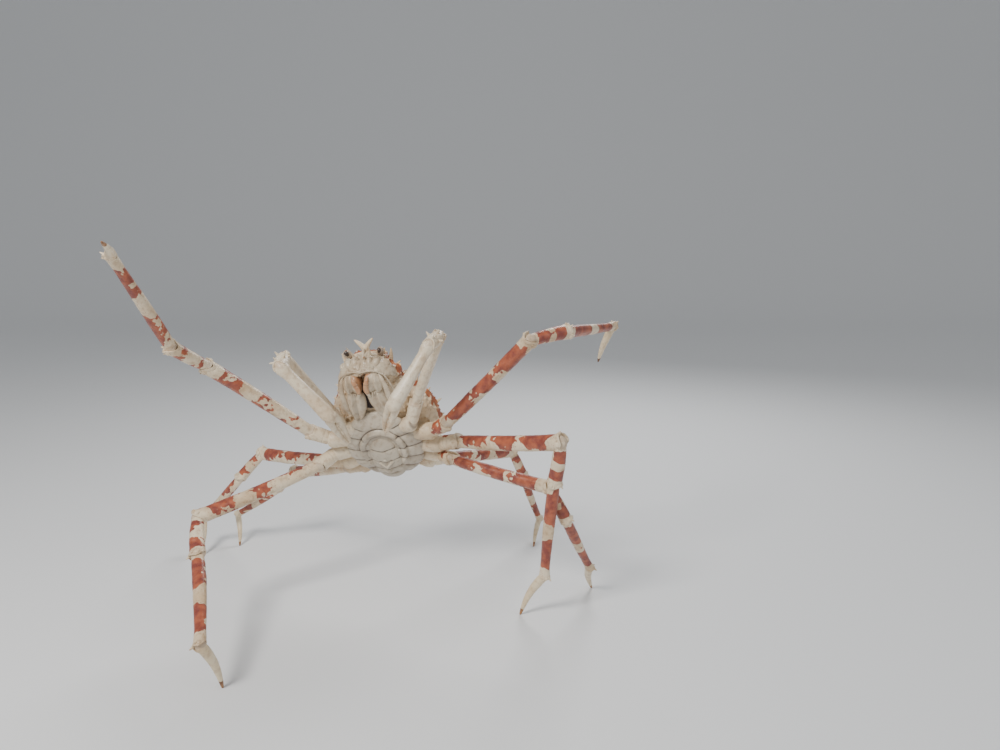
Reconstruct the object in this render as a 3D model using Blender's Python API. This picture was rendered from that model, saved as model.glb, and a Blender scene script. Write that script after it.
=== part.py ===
"""Japanese spider crab at life size, reared up on six legs with the first walking legs lifted.

Metres, +Z up, the crab faces -Y and stands on the plane z = 0.
A limb is a chain of shell pieces.  Each piece stays 0.3 mm clear of the one before it.
"""
import math
import bpy
import bmesh
from mathutils import Matrix, Vector

for old in list(bpy.data.objects):
    bpy.data.objects.remove(old, do_unlink=True)

# Body: width of the carapace, height of the middle of the breast plate, and how the body is held.
CARAPACE_WIDTH = 0.27
BREAST_HEIGHT = 0.38
BODY_PITCH = math.radians(65)
BODY_YAW = math.radians(-6)
BODY_ROLL = math.radians(8)
GAP = 0.0003
FOOT_FLAT = 0.0030

# Limb pieces in order: coxa with ischium, merus, carpus, propodus, dactyl.  Lengths in metres.
LENGTH = {
    1: (0.049, 0.204, 0.049, 0.150, 0.090),
    2: (0.054, 0.290, 0.102, 0.260, 0.115),
    3: (0.057, 0.300, 0.105, 0.248, 0.120),
    4: (0.048, 0.270, 0.092, 0.205, 0.108),
    5: (0.046, 0.246, 0.086, 0.187, 0.094),
}
# Half thickness of each piece: in the plane the leg bends in, then across it.
HALF = {
    1: ((0.0180, 0.0170), (0.0138, 0.0128), (0.0150, 0.0145), (0.0158, 0.0140), (0.0090, 0.0080)),
    2: ((0.0200, 0.0190), (0.0185, 0.0160), (0.0170, 0.0150), (0.0150, 0.0125), (0.0110, 0.0095)),
    3: ((0.0200, 0.0190), (0.0178, 0.0150), (0.0162, 0.0140), (0.0145, 0.0120), (0.0108, 0.0094)),
    4: ((0.0190, 0.0180), (0.0165, 0.0140), (0.0150, 0.0130), (0.0132, 0.0110), (0.0102, 0.0088)),
    5: ((0.0175, 0.0165), (0.0148, 0.0125), (0.0136, 0.0118), (0.0118, 0.0098), (0.0092, 0.0080)),
}
# Outer end of each coxa in carapace widths: out to the side, toward the head, toward the back.
COXA = {1: (0.31, 0.22, 0.02), 2: (0.46, 0.10, 0.05), 3: (0.48, -0.08, 0.09),
        4: (0.44, -0.24, 0.14), 5: (0.33, -0.36, 0.20)}
COXA_ROOT = {1: (0.17, 0.16, 0.07), 2: (0.22, 0.06, 0.09), 3: (0.22, -0.06, 0.11),
             4: (0.20, -0.17, 0.15), 5: (0.14, -0.25, 0.19)}
# Where each piece points, in degrees: azimuth round +Z from +X, then elevation.
POSE = {
    "right_1": ((-132, 59), (-128, 48), (-84, -16), (0, -47), (56, -52)),
    "left_1": ((1, 76), (-55, 57), (-112, -16), (-152, -56), (119, -52)),
    "right_2": ((-172, 21), (-151, 38), (-125, 32), (-102, 50), (-70, 13)),
    "left_2": ((-38, 27), (-22, 45), (32, 7), (59, -3), (118, -59)),
    "right_3": ((-140, -26), (-145, -14), (-72, -31), (-70, -26), (58, -68)),
    "left_3": ((-31, 12), (-39, 9), (108, -71), (108, -63), (162, -61)),
    "right_4": ((172, 1), (144, -6), (181, -47), (155, -40), (-81, -53)),
    "left_4": ((-50, -4), (-33, -5), (17, -61), (57, -59), (78, -51)),
    "right_5": ((164, -10), (139, -14), (153, -44), (154, -33), (-71, -56)),
    "left_5": ((27, 5), (48, -9), (41, -61), (58, -55), (-105, -38)),
}
RAISED = ("right_1", "left_1", "right_2", "left_2")
PIECES = ("coxa", "merus", "carpus", "propodus", "dactyl")

# Rows down a piece: share of its length, extra run in half thicknesses, share of the half thickness.
ROWS = {
    "merus": ((0, -0.35, 0.45), (0.03, 0, 0.84), (0.40, 0, 1.0), (0.92, 0, 1.02),
              (1.0, -0.15, 1.22), (1.0, 0.25, 1.20), (1.0, 0.60, 0.60)),
    "carpus": ((0, -0.2, 0.50), (0.20, 0, 0.88), (0.5, 0, 1.0), (0.84, 0, 1.04),
               (1.0, -0.1, 1.22), (1.0, 0.25, 1.16), (1.0, 0.56, 0.55)),
    "propodus": ((0, -0.2, 0.50), (0.08, 0, 0.96), (0.35, 0, 1.0), (0.90, 0, 0.78),
                 (1.0, -0.2, 1.0), (1.0, 0.15, 0.98), (1.0, 0.40, 0.50)),
    "dactyl": ((0, -0.2, 0.60), (0.12, 0, 1.0), (0.4, 0, 0.86), (0.65, 0, 0.66), (0.86, 0, 0.44)),
}

# Outline of the body in carapace widths, from tail to head:
# forward, half width, height of the widest line, height of the back, height of the underside.
SHELL = ((-0.44, 0.10, 0.235, 0.27, 0.20), (-0.40, 0.22, 0.225, 0.325, 0.155),
         (-0.30, 0.35, 0.235, 0.40, 0.105), (-0.15, 0.445, 0.27, 0.46, 0.07),
         (0.02, 0.49, 0.31, 0.495, 0.05), (0.18, 0.49, 0.33, 0.50, 0.05),
         (0.34, 0.43, 0.33, 0.485, 0.05), (0.48, 0.335, 0.315, 0.45, 0.06),
         (0.60, 0.26, 0.30, 0.415, 0.075), (0.70, 0.215, 0.295, 0.385, 0.10),
         (0.78, 0.165, 0.30, 0.36, 0.17), (0.83, 0.09, 0.305, 0.34, 0.25))
BREAST = ((-0.40, 0.07, 0.13, 0.16, 0.10), (-0.35, 0.17, 0.11, 0.17, 0.06),
          (-0.24, 0.28, 0.08, 0.17, 0.02), (-0.10, 0.335, 0.06, 0.16, -0.005),
          (0.04, 0.345, 0.05, 0.15, -0.015), (0.16, 0.31, 0.045, 0.14, -0.02),
          (0.25, 0.235, 0.04, 0.12, -0.02), (0.32, 0.15, 0.04, 0.11, -0.005),
          (0.37, 0.07, 0.05, 0.10, 0.015))
# Cross grooves between the plates of the breast, and of the flap: place, and depth.
BREAST_GROOVES = ((-0.17, 0.010), (-0.03, 0.010), (0.10, 0.010), (0.20, 0.008))
FLAP = ((-0.37, 0.06, 0.05, 0.05), (-0.30, 0.105, 0.015, -0.015), (-0.20, 0.132, 0.0, -0.04),
        (-0.08, 0.138, -0.01, -0.05), (0.02, 0.118, -0.01, -0.05), (0.08, 0.078, -0.01, -0.04),
        (0.11, 0.03, -0.01, -0.025))
FLAP_GROOVES = ((-0.24, 0.008), (-0.11, 0.008), (-0.01, 0.008))
GROOVE_HALF_WIDTH = 0.011
# Mouth plates, from the breast to the head: forward, inner edge, outer edge, outside, inside.
JAW = ((0.305, 0.105, 0.150, 0.03, 0.09), (0.36, 0.070, 0.185, -0.01, 0.10),
       (0.45, 0.022, 0.205, -0.02, 0.10), (0.55, 0.008, 0.200, -0.02, 0.11),
       (0.65, 0.010, 0.175, -0.005, 0.12), (0.71, 0.03, 0.14, 0.02, 0.13),
       (0.735, 0.06, 0.11, 0.05, 0.12))

# Rows of the claw: share of the palm with extra half thicknesses and size, then for each finger
# share of its length, distance from the middle line in palm half thicknesses, and size.
PALM = ((0, -0.3, 0.45), (0, 0.1, 0.80), (0.12, 0, 0.78), (0.4, 0, 0.84), (0.75, 0, 0.98), (0.95, 0, 1.04))
FIXED_FINGER = ((0.12, 0.50, 0.60), (0.45, 0.48, 0.50), (0.78, 0.42, 0.38), (0.96, 0.22, 0.24),
                (1.0, 0.16, 0.10))
MOVING_FINGER = ((-0.10, 0.50, 0.70), (0.10, 0.62, 1.0), (0.45, 0.72, 0.90), (0.75, 0.56, 0.72),
                 (0.93, 0.36, 0.48), (1.0, 0.26, 0.20))

# Bow of a limb piece away from its straight line, as a share of its length.
BOW = {"merus": 0.012, "carpus": 0.0, "propodus": 0.008, "dactyl": 0.06}

# Spines: half thickness at the root, and length above the skin.
JOINT_SPINE_ROOT = 0.0036
LEG_SPINE = 0.007
ARM_SPINE = 0.009
EDGE_SPINE_ROOT = 0.0042
EDGE_SPINE = 0.010
TUBERCLE_ROOT = 0.0044
TUBERCLE = 0.0065
TUBERCLE_TURNS = (32, 52, 72, 90, 108, 128, 148)

# Eye, feeler and horn: base and tip in carapace widths for the left side, then radii along them.
EYE_ENDS = ((0.11, 0.73, 0.27), (0.158, 0.87, 0.25))
EYE_RADII = ((0, 0.0070), (0.4, 0.0064), (0.6, 0.0082), (0.8, 0.0088), (0.97, 0.0064), (1.05, 0.0024))
FEELER_ENDS = ((0.065, 0.74, 0.22), (0.10, 0.98, 0.16))
FEELER_RADII = ((0, 0.0042), (0.3, 0.0038), (0.45, 0.0026), (1, 0.0009))
HORN_ENDS = ((0.035, 0.74, 0.31), (0.088, 0.935, 0.345))
HORN_RADII = ((0, 0.0105), (0.3, 0.0085), (0.6, 0.0065), (0.85, 0.0042), (1, 0.0014))
HORN_BOW = 0.012
BROW_SPINE = ((0.18, 0.70, 0.30), (0.225, 0.83, 0.325))
BROW_SPINE_ROOT = 0.0060


def turned(vector, angle):
    """Turn a vector about +Z."""
    return Matrix.Rotation(angle, 3, "Z") @ vector


def body_axes():
    """Unit vectors of the body: out to its left side, toward its head, toward its back."""
    ahead = Vector((0, -math.cos(BODY_PITCH), math.sin(BODY_PITCH)))
    back = Vector((0, math.sin(BODY_PITCH), math.cos(BODY_PITCH)))
    left = Vector((1, 0, 0))
    c, s = math.cos(BODY_ROLL), math.sin(BODY_ROLL)
    return (turned(c * left + s * ahead, BODY_YAW), turned(c * ahead - s * left, BODY_YAW),
            turned(back, BODY_YAW))


LEFT, AHEAD, BACK = body_axes()
BREAST_MIDDLE = Vector((0, 0, BREAST_HEIGHT))


def body_point(side, forward, dorsal):
    """A point given in carapace widths from the middle of the breast plate."""
    return BREAST_MIDDLE + CARAPACE_WIDTH * (side * LEFT + forward * AHEAD + dorsal * BACK)


def direction(azimuth, elevation):
    """Unit vector for an azimuth and an elevation in degrees."""
    a, e = math.radians(azimuth), math.radians(elevation)
    return Vector((math.cos(e) * math.cos(a), math.cos(e) * math.sin(a), math.sin(e)))


def colour(name, rgb, rough):
    """One plain material."""
    material = bpy.data.materials.new(name)
    material.use_nodes = True
    shader = material.node_tree.nodes["Principled BSDF"]
    shader.inputs["Base Color"].default_value = (*rgb, 1)
    shader.inputs["Roughness"].default_value = rough
    return material


SHELL_RED = (0.50, 0.19, 0.10)
SHELL_CREAM = (0.78, 0.70, 0.60)
UNDERSIDE = (0.66, 0.60, 0.54)
EYE_DARK = (0.03, 0.025, 0.03)


def solid(name, rings, rgb=SHELL_CREAM, rough=0.45, end=None):
    """A closed skin through rings of points, closed with a middle point or a tip."""
    mesh = bmesh.new()
    rows = [[mesh.verts.new(point) for point in ring] for ring in rings]
    count = len(rings[0])
    for low, high in zip(rows, rows[1:]):
        for k in range(count):
            n = (k + 1) % count
            mesh.faces.new((low[k], low[n], high[n], high[k]))
    for row, step in ((rows[0], -1), (rows[-1], 1)):
        centre = sum((v.co for v in row), Vector()) / count
        middle = mesh.verts.new(end if end is not None and step == 1 else centre)
        for k in range(count):
            n = (k + step) % count
            mesh.faces.new((row[k], row[n], middle))
    bmesh.ops.triangulate(mesh, faces=mesh.faces)
    bmesh.ops.recalc_face_normals(mesh, faces=mesh.faces)
    data = bpy.data.meshes.new(name)
    mesh.to_mesh(data)
    mesh.free()
    data.materials.append(colour(name + "_skin", rgb, rough))
    thing = bpy.data.objects.new(name, data)
    bpy.context.collection.objects.link(thing)
    return thing


def oval(centre, tall, wide, count):
    """Points of an oval round a centre, from its two half axes."""
    return [centre + math.cos(2 * math.pi * k / count) * tall + math.sin(2 * math.pi * k / count) * wide
            for k in range(count)]


def across(axis, side):
    """Two unit vectors square to an axis: in the bending plane, then along the side vector."""
    wide = (side - side.dot(axis) * axis).normalized()
    return wide.cross(axis).normalized(), wide


def keep_largest(thing):
    """Drop every loose scrap and keep the largest closed surface."""
    mesh = bmesh.new()
    mesh.from_mesh(thing.data)
    left = set(mesh.faces)
    shells = []
    while left:
        stack = [left.pop()]
        shell = set(stack)
        while stack:
            for edge in stack.pop().edges:
                for face in edge.link_faces:
                    if face in left:
                        left.discard(face)
                        shell.add(face)
                        stack.append(face)
        shells.append(shell)
    shells.sort(key=lambda s: sum(f.calc_area() for f in s))
    for shell in shells[:-1]:
        bmesh.ops.delete(mesh, geom=list(shell), context="FACES")
    bmesh.ops.remove_doubles(mesh, verts=mesh.verts, dist=0.00004)
    bmesh.ops.dissolve_degenerate(mesh, dist=0.00004, edges=mesh.edges)
    bmesh.ops.triangulate(mesh, faces=mesh.faces)
    mesh.to_mesh(thing.data)
    mesh.free()


def grown(thing):
    """A copy of a body with its skin moved outward by the gap."""
    copy = thing.copy()
    copy.data = thing.data.copy()
    bpy.context.collection.objects.link(copy)
    mesh = bmesh.new()
    mesh.from_mesh(copy.data)
    mesh.normal_update()
    moves = [(v, v.normal * GAP * min(v.calc_shell_factor(), 2.0)) for v in mesh.verts]
    for v, move in moves:
        v.co += move
    mesh.to_mesh(copy.data)
    mesh.free()
    copy.hide_render = True
    copy.display_type = "WIRE"
    return copy


def cut(thing, guide):
    """Take a guide away from a body and leave the guide for later cuts."""
    other = guide.copy()
    other.data = guide.data.copy()
    bpy.context.collection.objects.link(other)
    combine(thing, other, "DIFFERENCE")


def combine(thing, other, operation):
    """Apply one Boolean and remove the second body.

    The second solver steps in if the first leaves nothing.
    """
    start = thing.data.copy()
    for solver in ("EXACT", "MANIFOLD"):
        thing.data = start.copy()
        step = thing.modifiers.new("join", "BOOLEAN")
        step.operation = operation
        step.solver = solver
        step.object = other
        with bpy.context.temp_override(object=thing, active_object=thing, selected_objects=[thing]):
            bpy.ops.object.modifier_apply(modifier=step.name)
        if len(thing.data.polygons) > 12:
            break
        print("second solver for", thing.name)
    bpy.data.objects.remove(other, do_unlink=True)
    keep_largest(thing)


def cone(root, tip, half, count=5):
    """A spine: its root sunk below the skin, a bend in the middle, a fine tip."""
    axis = (tip - root).normalized()
    tall, wide = across(axis, Vector((0.31, 0.42, 0.85)))
    middle = root.lerp(tip, 0.6)
    return solid("spine", [oval(root, half * tall, half * wide, count),
                           oval(middle, 0.62 * half * tall, 0.62 * half * wide, count)], end=tip)


def fuse(thing, spines):
    """Unite a list of (root, tip, half thickness) spines with a body."""
    for root, tip, half in spines:
        combine(thing, cone(root, tip, half), "UNION")


def grooved(rows, grooves):
    """Add rows that press a narrow groove across the outside at each place."""
    def row_at(forward):
        for low, high in zip(rows, rows[1:]):
            if low[0] <= forward <= high[0]:
                share = (forward - low[0]) / (high[0] - low[0])
                return [a + (b - a) * share for a, b in zip(low, high)]
    extra = []
    for place, depth in grooves:
        for offset, press in ((-GROOVE_HALF_WIDTH, 0), (0, depth), (GROOVE_HALF_WIDTH, 0)):
            row = row_at(place + offset)
            row[4] += press
            row[1] -= press
            extra.append(row)
    return sorted([list(r) for r in rows] + extra)


def section(row, count):
    """One ring of the body: an upper and a lower half oval on a shared widest line."""
    forward, half, middle, top, bottom = row
    ring = []
    for k in range(count):
        a = 2 * math.pi * k / count
        rise = (top - middle) if math.sin(a) > 0 else (middle - bottom)
        ring.append(body_point(half * math.cos(a), forward, middle + rise * math.sin(a)))
    return ring


def body_skin(name, rows, count, rgb):
    """A closed skin through body sections."""
    return solid(name, [section(row, count) for row in rows], rgb)


def chain(limb):
    """Joint points of one limb, from its coxa to its tip."""
    side = 1 if limb.startswith("left") else -1
    pair = int(limb[-1])
    out, forward, dorsal = COXA[pair]
    points = [body_point(side * out, forward, dorsal)]
    angles = [list(pair_of) for pair_of in POSE[limb]]
    if limb not in RAISED:
        reach = points[0].copy()
        for (azimuth, elevation), length in zip(angles[:3], LENGTH[pair][:3]):
            reach += length * direction(azimuth, elevation)
        knuckle = -LENGTH[pair][4] * math.sin(math.radians(angles[4][1]))
        angles[3][1] = math.degrees(math.asin((knuckle - reach.z) / LENGTH[pair][3]))
    for (azimuth, elevation), length in zip(angles, LENGTH[pair]):
        points.append(points[-1] + length * direction(azimuth, elevation))
    return points


def piece_rings(kind, start, end, half, side, bow, count):
    """Oval rings of one limb piece, with an optional bow away from the straight line."""
    run = end - start
    length = run.length
    axis = run.normalized()
    tall, wide = across(axis, side)
    rings = []
    for share, extra, size in ROWS[kind]:
        t = share + extra * half[0] / length
        centre = start + t * run + bow * length * math.sin(math.pi * min(max(t, 0), 1)) * tall
        rings.append(oval(centre, size * half[0] * tall, size * half[1] * wide, count))
    return rings


def bend_side(points):
    """Side vector of a limb: square to the plane it mostly bends in."""
    thigh = (points[2] - points[1]).normalized()
    shin = (points[4] - points[2]).normalized()
    return thigh.cross(shin).normalized()


def coxa_rings(root, knuckle, end, half, side, count):
    """Coxa and ischium: one stub from inside the body round the first knuckle."""
    rings = []
    stops = ((root, 0.80), (root.lerp(knuckle, 0.55), 1.0), (knuckle, 1.06),
             (knuckle.lerp(end, 0.35), 0.84), (knuckle.lerp(end, 0.80), 0.92), (end, 0.94))
    tail = (end - knuckle).normalized()
    stops = stops + ((end + 0.42 * half[0] * tail, 0.60),)
    first = (knuckle - root).normalized()
    for k, (centre, size) in enumerate(stops):
        axis = (first, first, (first + tail).normalized(), tail, tail, tail, tail)[k]
        tall, wide = across(axis, side)
        rings.append(oval(centre, size * half[0] * tall, size * half[1] * wide, count))
    return rings


def joint_spines(start, end, half, side, share, turns, length):
    """Spines in a ring near one end of a limb piece."""
    axis = (end - start).normalized()
    tall, wide = across(axis, side)
    spines = []
    for turn in turns:
        a = math.radians(turn)
        out = (math.cos(a) * half[0] * tall + math.sin(a) * half[1] * wide)
        skin = start.lerp(end, share) + out
        lean = (out.normalized() + 0.45 * axis).normalized()
        spines.append((skin - 0.35 * out, skin + length * lean, JOINT_SPINE_ROOT))
    return spines


def walking_leg(limb, body_guides):
    """The five pieces of a walking leg, each cut to clear the piece before it."""
    pair = int(limb[-1])
    side_sign = 1 if limb.startswith("left") else -1
    points = chain(limb)
    side = bend_side(points)
    half = HALF[pair]
    root = body_point(side_sign * COXA_ROOT[pair][0], *COXA_ROOT[pair][1:])
    coxa = solid(limb + "_coxa", coxa_rings(root, points[0], points[1], half[0], side, 8), SHELL_CREAM)
    before = grown(coxa)
    for guide in body_guides:
        cut(coxa, guide)
    for k, kind in enumerate(PIECES[1:], start=1):
        start, end = points[k], points[k + 1]
        rings = piece_rings(kind, start, end, half[k], side, BOW[kind], 10 if k < 4 else 8)
        if kind == "dactyl":
            rings.append(foot_ring(limb, start, end, half[4], side))
        piece = solid(limb + "_" + kind, rings, SHELL_RED if kind in ("merus", "propodus") else SHELL_CREAM)
        if kind in ("merus", "carpus"):
            turns = (0, 80, -80) if kind == "merus" else (0,)
            fuse(piece, joint_spines(start, end, 1.15 * Vector(half[k]), side, 0.99, turns, LEG_SPINE))
        combine(piece, before, "DIFFERENCE")
        before = grown(piece)
    bpy.data.objects.remove(before, do_unlink=True)


def foot_ring(limb, start, end, half, side):
    """Last ring of a dactyl: a small level flat on the floor, or a blunt point in the air."""
    tall, wide = across((end - start).normalized(), side)
    if limb in RAISED:
        return oval(end, 0.12 * half[0] * tall, 0.12 * half[0] * wide, 8)
    ring = oval(end, FOOT_FLAT * 0.7 * tall, FOOT_FLAT * 0.7 * wide, 8)
    return [Vector((point.x, point.y, 0)) for point in ring]


def claw_arm(limb, body_guides):
    """The five pieces of a clawed limb: coxa, merus, carpus, palm with fixed finger, moving finger."""
    points = chain(limb)
    side_sign = 1 if limb.startswith("left") else -1
    side = bend_side(points)
    half = HALF[1]
    root = body_point(side_sign * COXA_ROOT[1][0], *COXA_ROOT[1][1:])
    coxa = solid(limb + "_coxa", coxa_rings(root, points[0], points[1], half[0], side, 8), SHELL_CREAM)
    before = grown(coxa)
    for guide in body_guides:
        cut(coxa, guide)
    for k, kind in ((1, "merus"), (2, "carpus")):
        start, end = points[k], points[k + 1]
        piece = solid(limb + "_" + kind, piece_rings(kind, start, end, half[k], side, 0.0, 10), SHELL_CREAM)
        place, turns = (0.80, (0, 70, -70)) if kind == "merus" else (0.45, (0, 60, -60))
        fuse(piece, joint_spines(start, end, half[k], side, place, turns, ARM_SPINE))
        combine(piece, before, "DIFFERENCE")
        before = grown(piece)
    # The fingers open square to the way the arm folds, with the moving one toward the mouth.
    hinge = side_sign * across((points[4] - points[3]).normalized(), side)[0]
    palm = solid(limb + "_palm", palm_rings(points, half, hinge), SHELL_CREAM)
    combine(palm, before, "DIFFERENCE")
    after = grown(palm)
    finger = solid(limb + "_finger", finger_rings(points, half, hinge), SHELL_CREAM)
    combine(finger, after, "DIFFERENCE")


def palm_rings(points, half, side):
    """Palm running on into the fixed finger on its outer side."""
    start, wrist, tip = points[3], points[4], points[5]
    axis = (wrist - start).normalized()
    tall, wide = across(axis, side)
    length = (wrist - start).length
    reach = tip - wrist
    rings = []
    for share, extra, size in PALM:
        centre = start + (share * length + extra * half[3][0]) * axis
        rings.append(oval(centre, size * half[3][0] * tall, size * half[3][1] * wide, 10))
    turn = (axis + reach.normalized()).normalized()
    for share, off, size in FIXED_FINGER:
        centre = wrist + share * reach - off * half[3][0] * tall
        tall_here, wide_here = across(turn if share < 0.2 else reach.normalized(), side)
        rings.append(oval(centre, size * half[3][0] * tall_here, size * half[3][1] * wide_here, 10))
    return rings


def finger_rings(points, half, side):
    """Moving finger: hinged on the inner side of the palm and curved to meet the fixed one."""
    wrist, tip = points[4], points[5]
    reach = tip - wrist
    tall, wide = across(reach.normalized(), side)
    rings = []
    for share, off, size in MOVING_FINGER:
        centre = wrist + share * reach + off * half[3][0] * tall
        rings.append(oval(centre, size * half[4][0] * tall, size * half[4][1] * wide, 8))
    return rings


def shell_spot(station, turn):
    """A point of the back shell and the way out from it, from a place along it and an angle."""
    station = min(max(station, 0), len(SHELL) - 1.001)
    low = int(station)
    share = station - low
    row = [a + (b - a) * share for a, b in zip(SHELL[low], SHELL[low + 1])]
    a = math.radians(turn)
    rise = row[3] - row[2] if turn > 0 else row[2] - row[4]
    spot = body_point(row[1] * math.cos(a), row[0], row[2] + rise * math.sin(a))
    out = math.cos(a) / max(row[1], 0.1) * LEFT + math.sin(a) / max(rise, 0.1) * BACK
    return spot, out.normalized()


def back_spines():
    """Spines along both edges of the back and tubercles in rows over it."""
    spines = []
    for side in (0, 180):
        for k in range(8):
            spot, out = shell_spot(1.2 + 1.05 * k, side + (8 if side == 0 else -8))
            length = EDGE_SPINE + 0.004 * (k % 2)
            lean = (out + 0.5 * AHEAD).normalized()
            spines.append((spot - 0.006 * out, spot + length * lean, EDGE_SPINE_ROOT))
    for row, turn in enumerate(TUBERCLE_TURNS):
        for k in range(6):
            spot, out = shell_spot(1.3 + 1.35 * k + (0.65 if row % 2 else 0), turn)
            spines.append((spot - 0.005 * out, spot + TUBERCLE * out, TUBERCLE_ROOT))
    return spines


def mirrored(place, side):
    """A point of the body on the left side (1) or the right side (-1)."""
    return body_point(side * place[0], *place[1:])


def stem(name, ends, radii, side, count, rgb, rough=0.45):
    """A round stem between two places of the body, with radii along it."""
    base, tip = (mirrored(place, side) for place in ends)
    tall, wide = across((tip - base).normalized(), LEFT)
    rings = [oval(base.lerp(tip, t), r * tall, r * wide, count) for t, r in radii]
    return solid(name, rings, rgb, rough)


def horn(side):
    """One of the two horns that point forward from between the eyes."""
    base, tip = (mirrored(place, side) for place in HORN_ENDS)
    tall, wide = across((tip - base).normalized(), LEFT)
    rings = []
    for t, size in HORN_RADII:
        centre = base.lerp(tip, t) - HORN_BOW * math.sin(math.pi * t) * (side * LEFT)
        rings.append(oval(centre, size * tall, size * wide, 8))
    return solid("horn", rings)


def mouth_plate(name, side):
    """One of the two door plates over the mouth: rounded boxes down their length."""
    rings = []
    for forward, inner, outer, low, high in JAW:
        ring = []
        for k in range(12):
            a = 2 * math.pi * k / 12
            c, s = math.cos(a), math.sin(a)
            bulge = (outer - inner) / 2 * abs(c) ** 0.7 * math.copysign(1, c)
            depth = (low + high) / 2 + (high - low) / 2 * abs(s) ** 0.7 * math.copysign(1, s)
            ring.append(body_point(side * (inner + outer) / 2 + bulge, forward, depth))
        rings.append(ring)
    return solid(name, rings, UNDERSIDE)


def body():
    """Back shell, breast plate and tail flap, and guides that keep other pieces clear of them."""
    shell = body_skin("carapace", SHELL, 20, SHELL_RED)
    breast = body_skin("sternum", grooved(BREAST, BREAST_GROOVES), 14, UNDERSIDE)
    flap_rows = [(f, w, (a + b) / 2, a + 0.012, b - 0.004) for f, w, a, b in FLAP]
    flap = body_skin("abdomen", grooved(flap_rows, FLAP_GROOVES), 12, UNDERSIDE)
    breast_guide, flap_guide = grown(breast), grown(flap)
    cut(shell, breast_guide)
    cut(shell, flap_guide)
    cut(breast, flap_guide)
    for side in (1, -1):
        combine(shell, horn(side), "UNION")
        root, tip = (mirrored(place, side) for place in BROW_SPINE)
        combine(shell, cone(root, tip, BROW_SPINE_ROOT), "UNION")
    fuse(shell, back_spines())
    bpy.data.objects.remove(flap_guide, do_unlink=True)
    return grown(shell), breast_guide


def head(guides):
    """Mouth plates, eyes and feelers, cut to clear the body."""
    for name, side in (("right", -1), ("left", 1)):
        plate = mouth_plate("maxilliped_" + name, side)
        for guide in guides:
            cut(plate, guide)
        eye = stem("eye_" + name, EYE_ENDS, EYE_RADII, side, 10, EYE_DARK, 0.15)
        feeler = stem("antenna_" + name, FEELER_ENDS, FEELER_RADII, side, 6, SHELL_CREAM)
        for thing in (eye, feeler):
            cut(thing, guides[0])


def centre_parts():
    """Set the origin on the floor under the middle of the bounding box."""
    parts = [thing for thing in bpy.data.objects if thing.type == "MESH"]
    corners = [v.co for thing in parts for v in thing.data.vertices]
    middle = [(min(c[k] for c in corners) + max(c[k] for c in corners)) / 2 for k in (0, 1)]
    shift = Vector((middle[0], middle[1], 0))
    for thing in parts:
        thing.data.transform(Matrix.Translation(-shift))
        for face in thing.data.polygons:
            face.use_smooth = True
    print("moved by", tuple(round(v, 4) for v in shift), "triangles",
          sum(len(p.vertices) - 2 for thing in parts for p in thing.data.polygons))


def main():
    """Build every piece of the crab."""
    guides = body()
    head(guides)
    for side in ("right", "left"):
        claw_arm(side + "_1", guides)
        for pair in (2, 3, 4, 5):
            walking_leg(side + "_" + str(pair), guides)
    for guide in guides:
        bpy.data.objects.remove(guide, do_unlink=True)
    centre_parts()


main()
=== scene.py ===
# %% [markdown]
# # A japanese spider crab at life size
# The real animal is a suit of hard shell plates over muscle. Sculpting each plate by hand would take weeks,
# and boxes would look like a toy. So every plate here is a flat grid that a small function rolls up and
# bends into shape, and the same few lines make a leg, a claw or the back. The first step loads the solid
# model, which gives every piece its place and its size.

# %% Load the solid model
import math
import random
from bisect import bisect_right
from functools import lru_cache
import bmesh
import bpy
from mathutils import Matrix, Vector, noise
from mathutils.bvhtree import BVHTree


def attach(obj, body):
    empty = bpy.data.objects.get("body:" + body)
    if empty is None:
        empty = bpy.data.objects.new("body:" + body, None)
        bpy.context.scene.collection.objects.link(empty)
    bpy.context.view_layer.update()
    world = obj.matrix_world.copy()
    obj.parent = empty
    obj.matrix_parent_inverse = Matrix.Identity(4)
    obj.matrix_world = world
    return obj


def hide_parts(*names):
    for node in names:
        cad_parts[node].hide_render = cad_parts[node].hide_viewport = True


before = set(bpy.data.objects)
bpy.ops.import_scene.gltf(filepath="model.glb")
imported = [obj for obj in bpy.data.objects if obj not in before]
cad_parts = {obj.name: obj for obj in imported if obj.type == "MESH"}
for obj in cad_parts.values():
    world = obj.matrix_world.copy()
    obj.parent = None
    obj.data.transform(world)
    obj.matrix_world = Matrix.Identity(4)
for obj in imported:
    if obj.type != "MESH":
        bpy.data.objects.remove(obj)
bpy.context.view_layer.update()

# %% [markdown]
# ## The camera
# The photo doesn't say how it was taken. A wide lens a little under a metre above the floor, looking down
# by ten degrees, is a guess that fits it. A camera could be aimed with a constraint, but three plain numbers
# for place, turn and lens are easier to compare with a photo.
# The solid model was moved so that its box stands in the middle of the floor, and the camera moves with it.

# %% Camera at the photo's place
SHIFT = Vector((0.0031, -0.0317, 0))
scene = bpy.context.scene
camera = bpy.data.objects.new("camera", bpy.data.cameras.new("camera"))
scene.collection.objects.link(camera)
camera.location = Vector((0.281, -1.865, 0.885)) - SHIFT
camera.rotation_euler = (math.radians(80), 0, 0)
camera.data.lens = 28.8
camera.data.sensor_width = 36
scene.camera = camera
print("camera at", [round(v, 3) for v in camera.location])

# %% [markdown]
# ## The lights
# A museum lights a shell with large soft panels. Small lights would make hard glints that hide its form,
# and a photo of a room as light would bring in a picture. So there are three disks of light and a pale sky.

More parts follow.
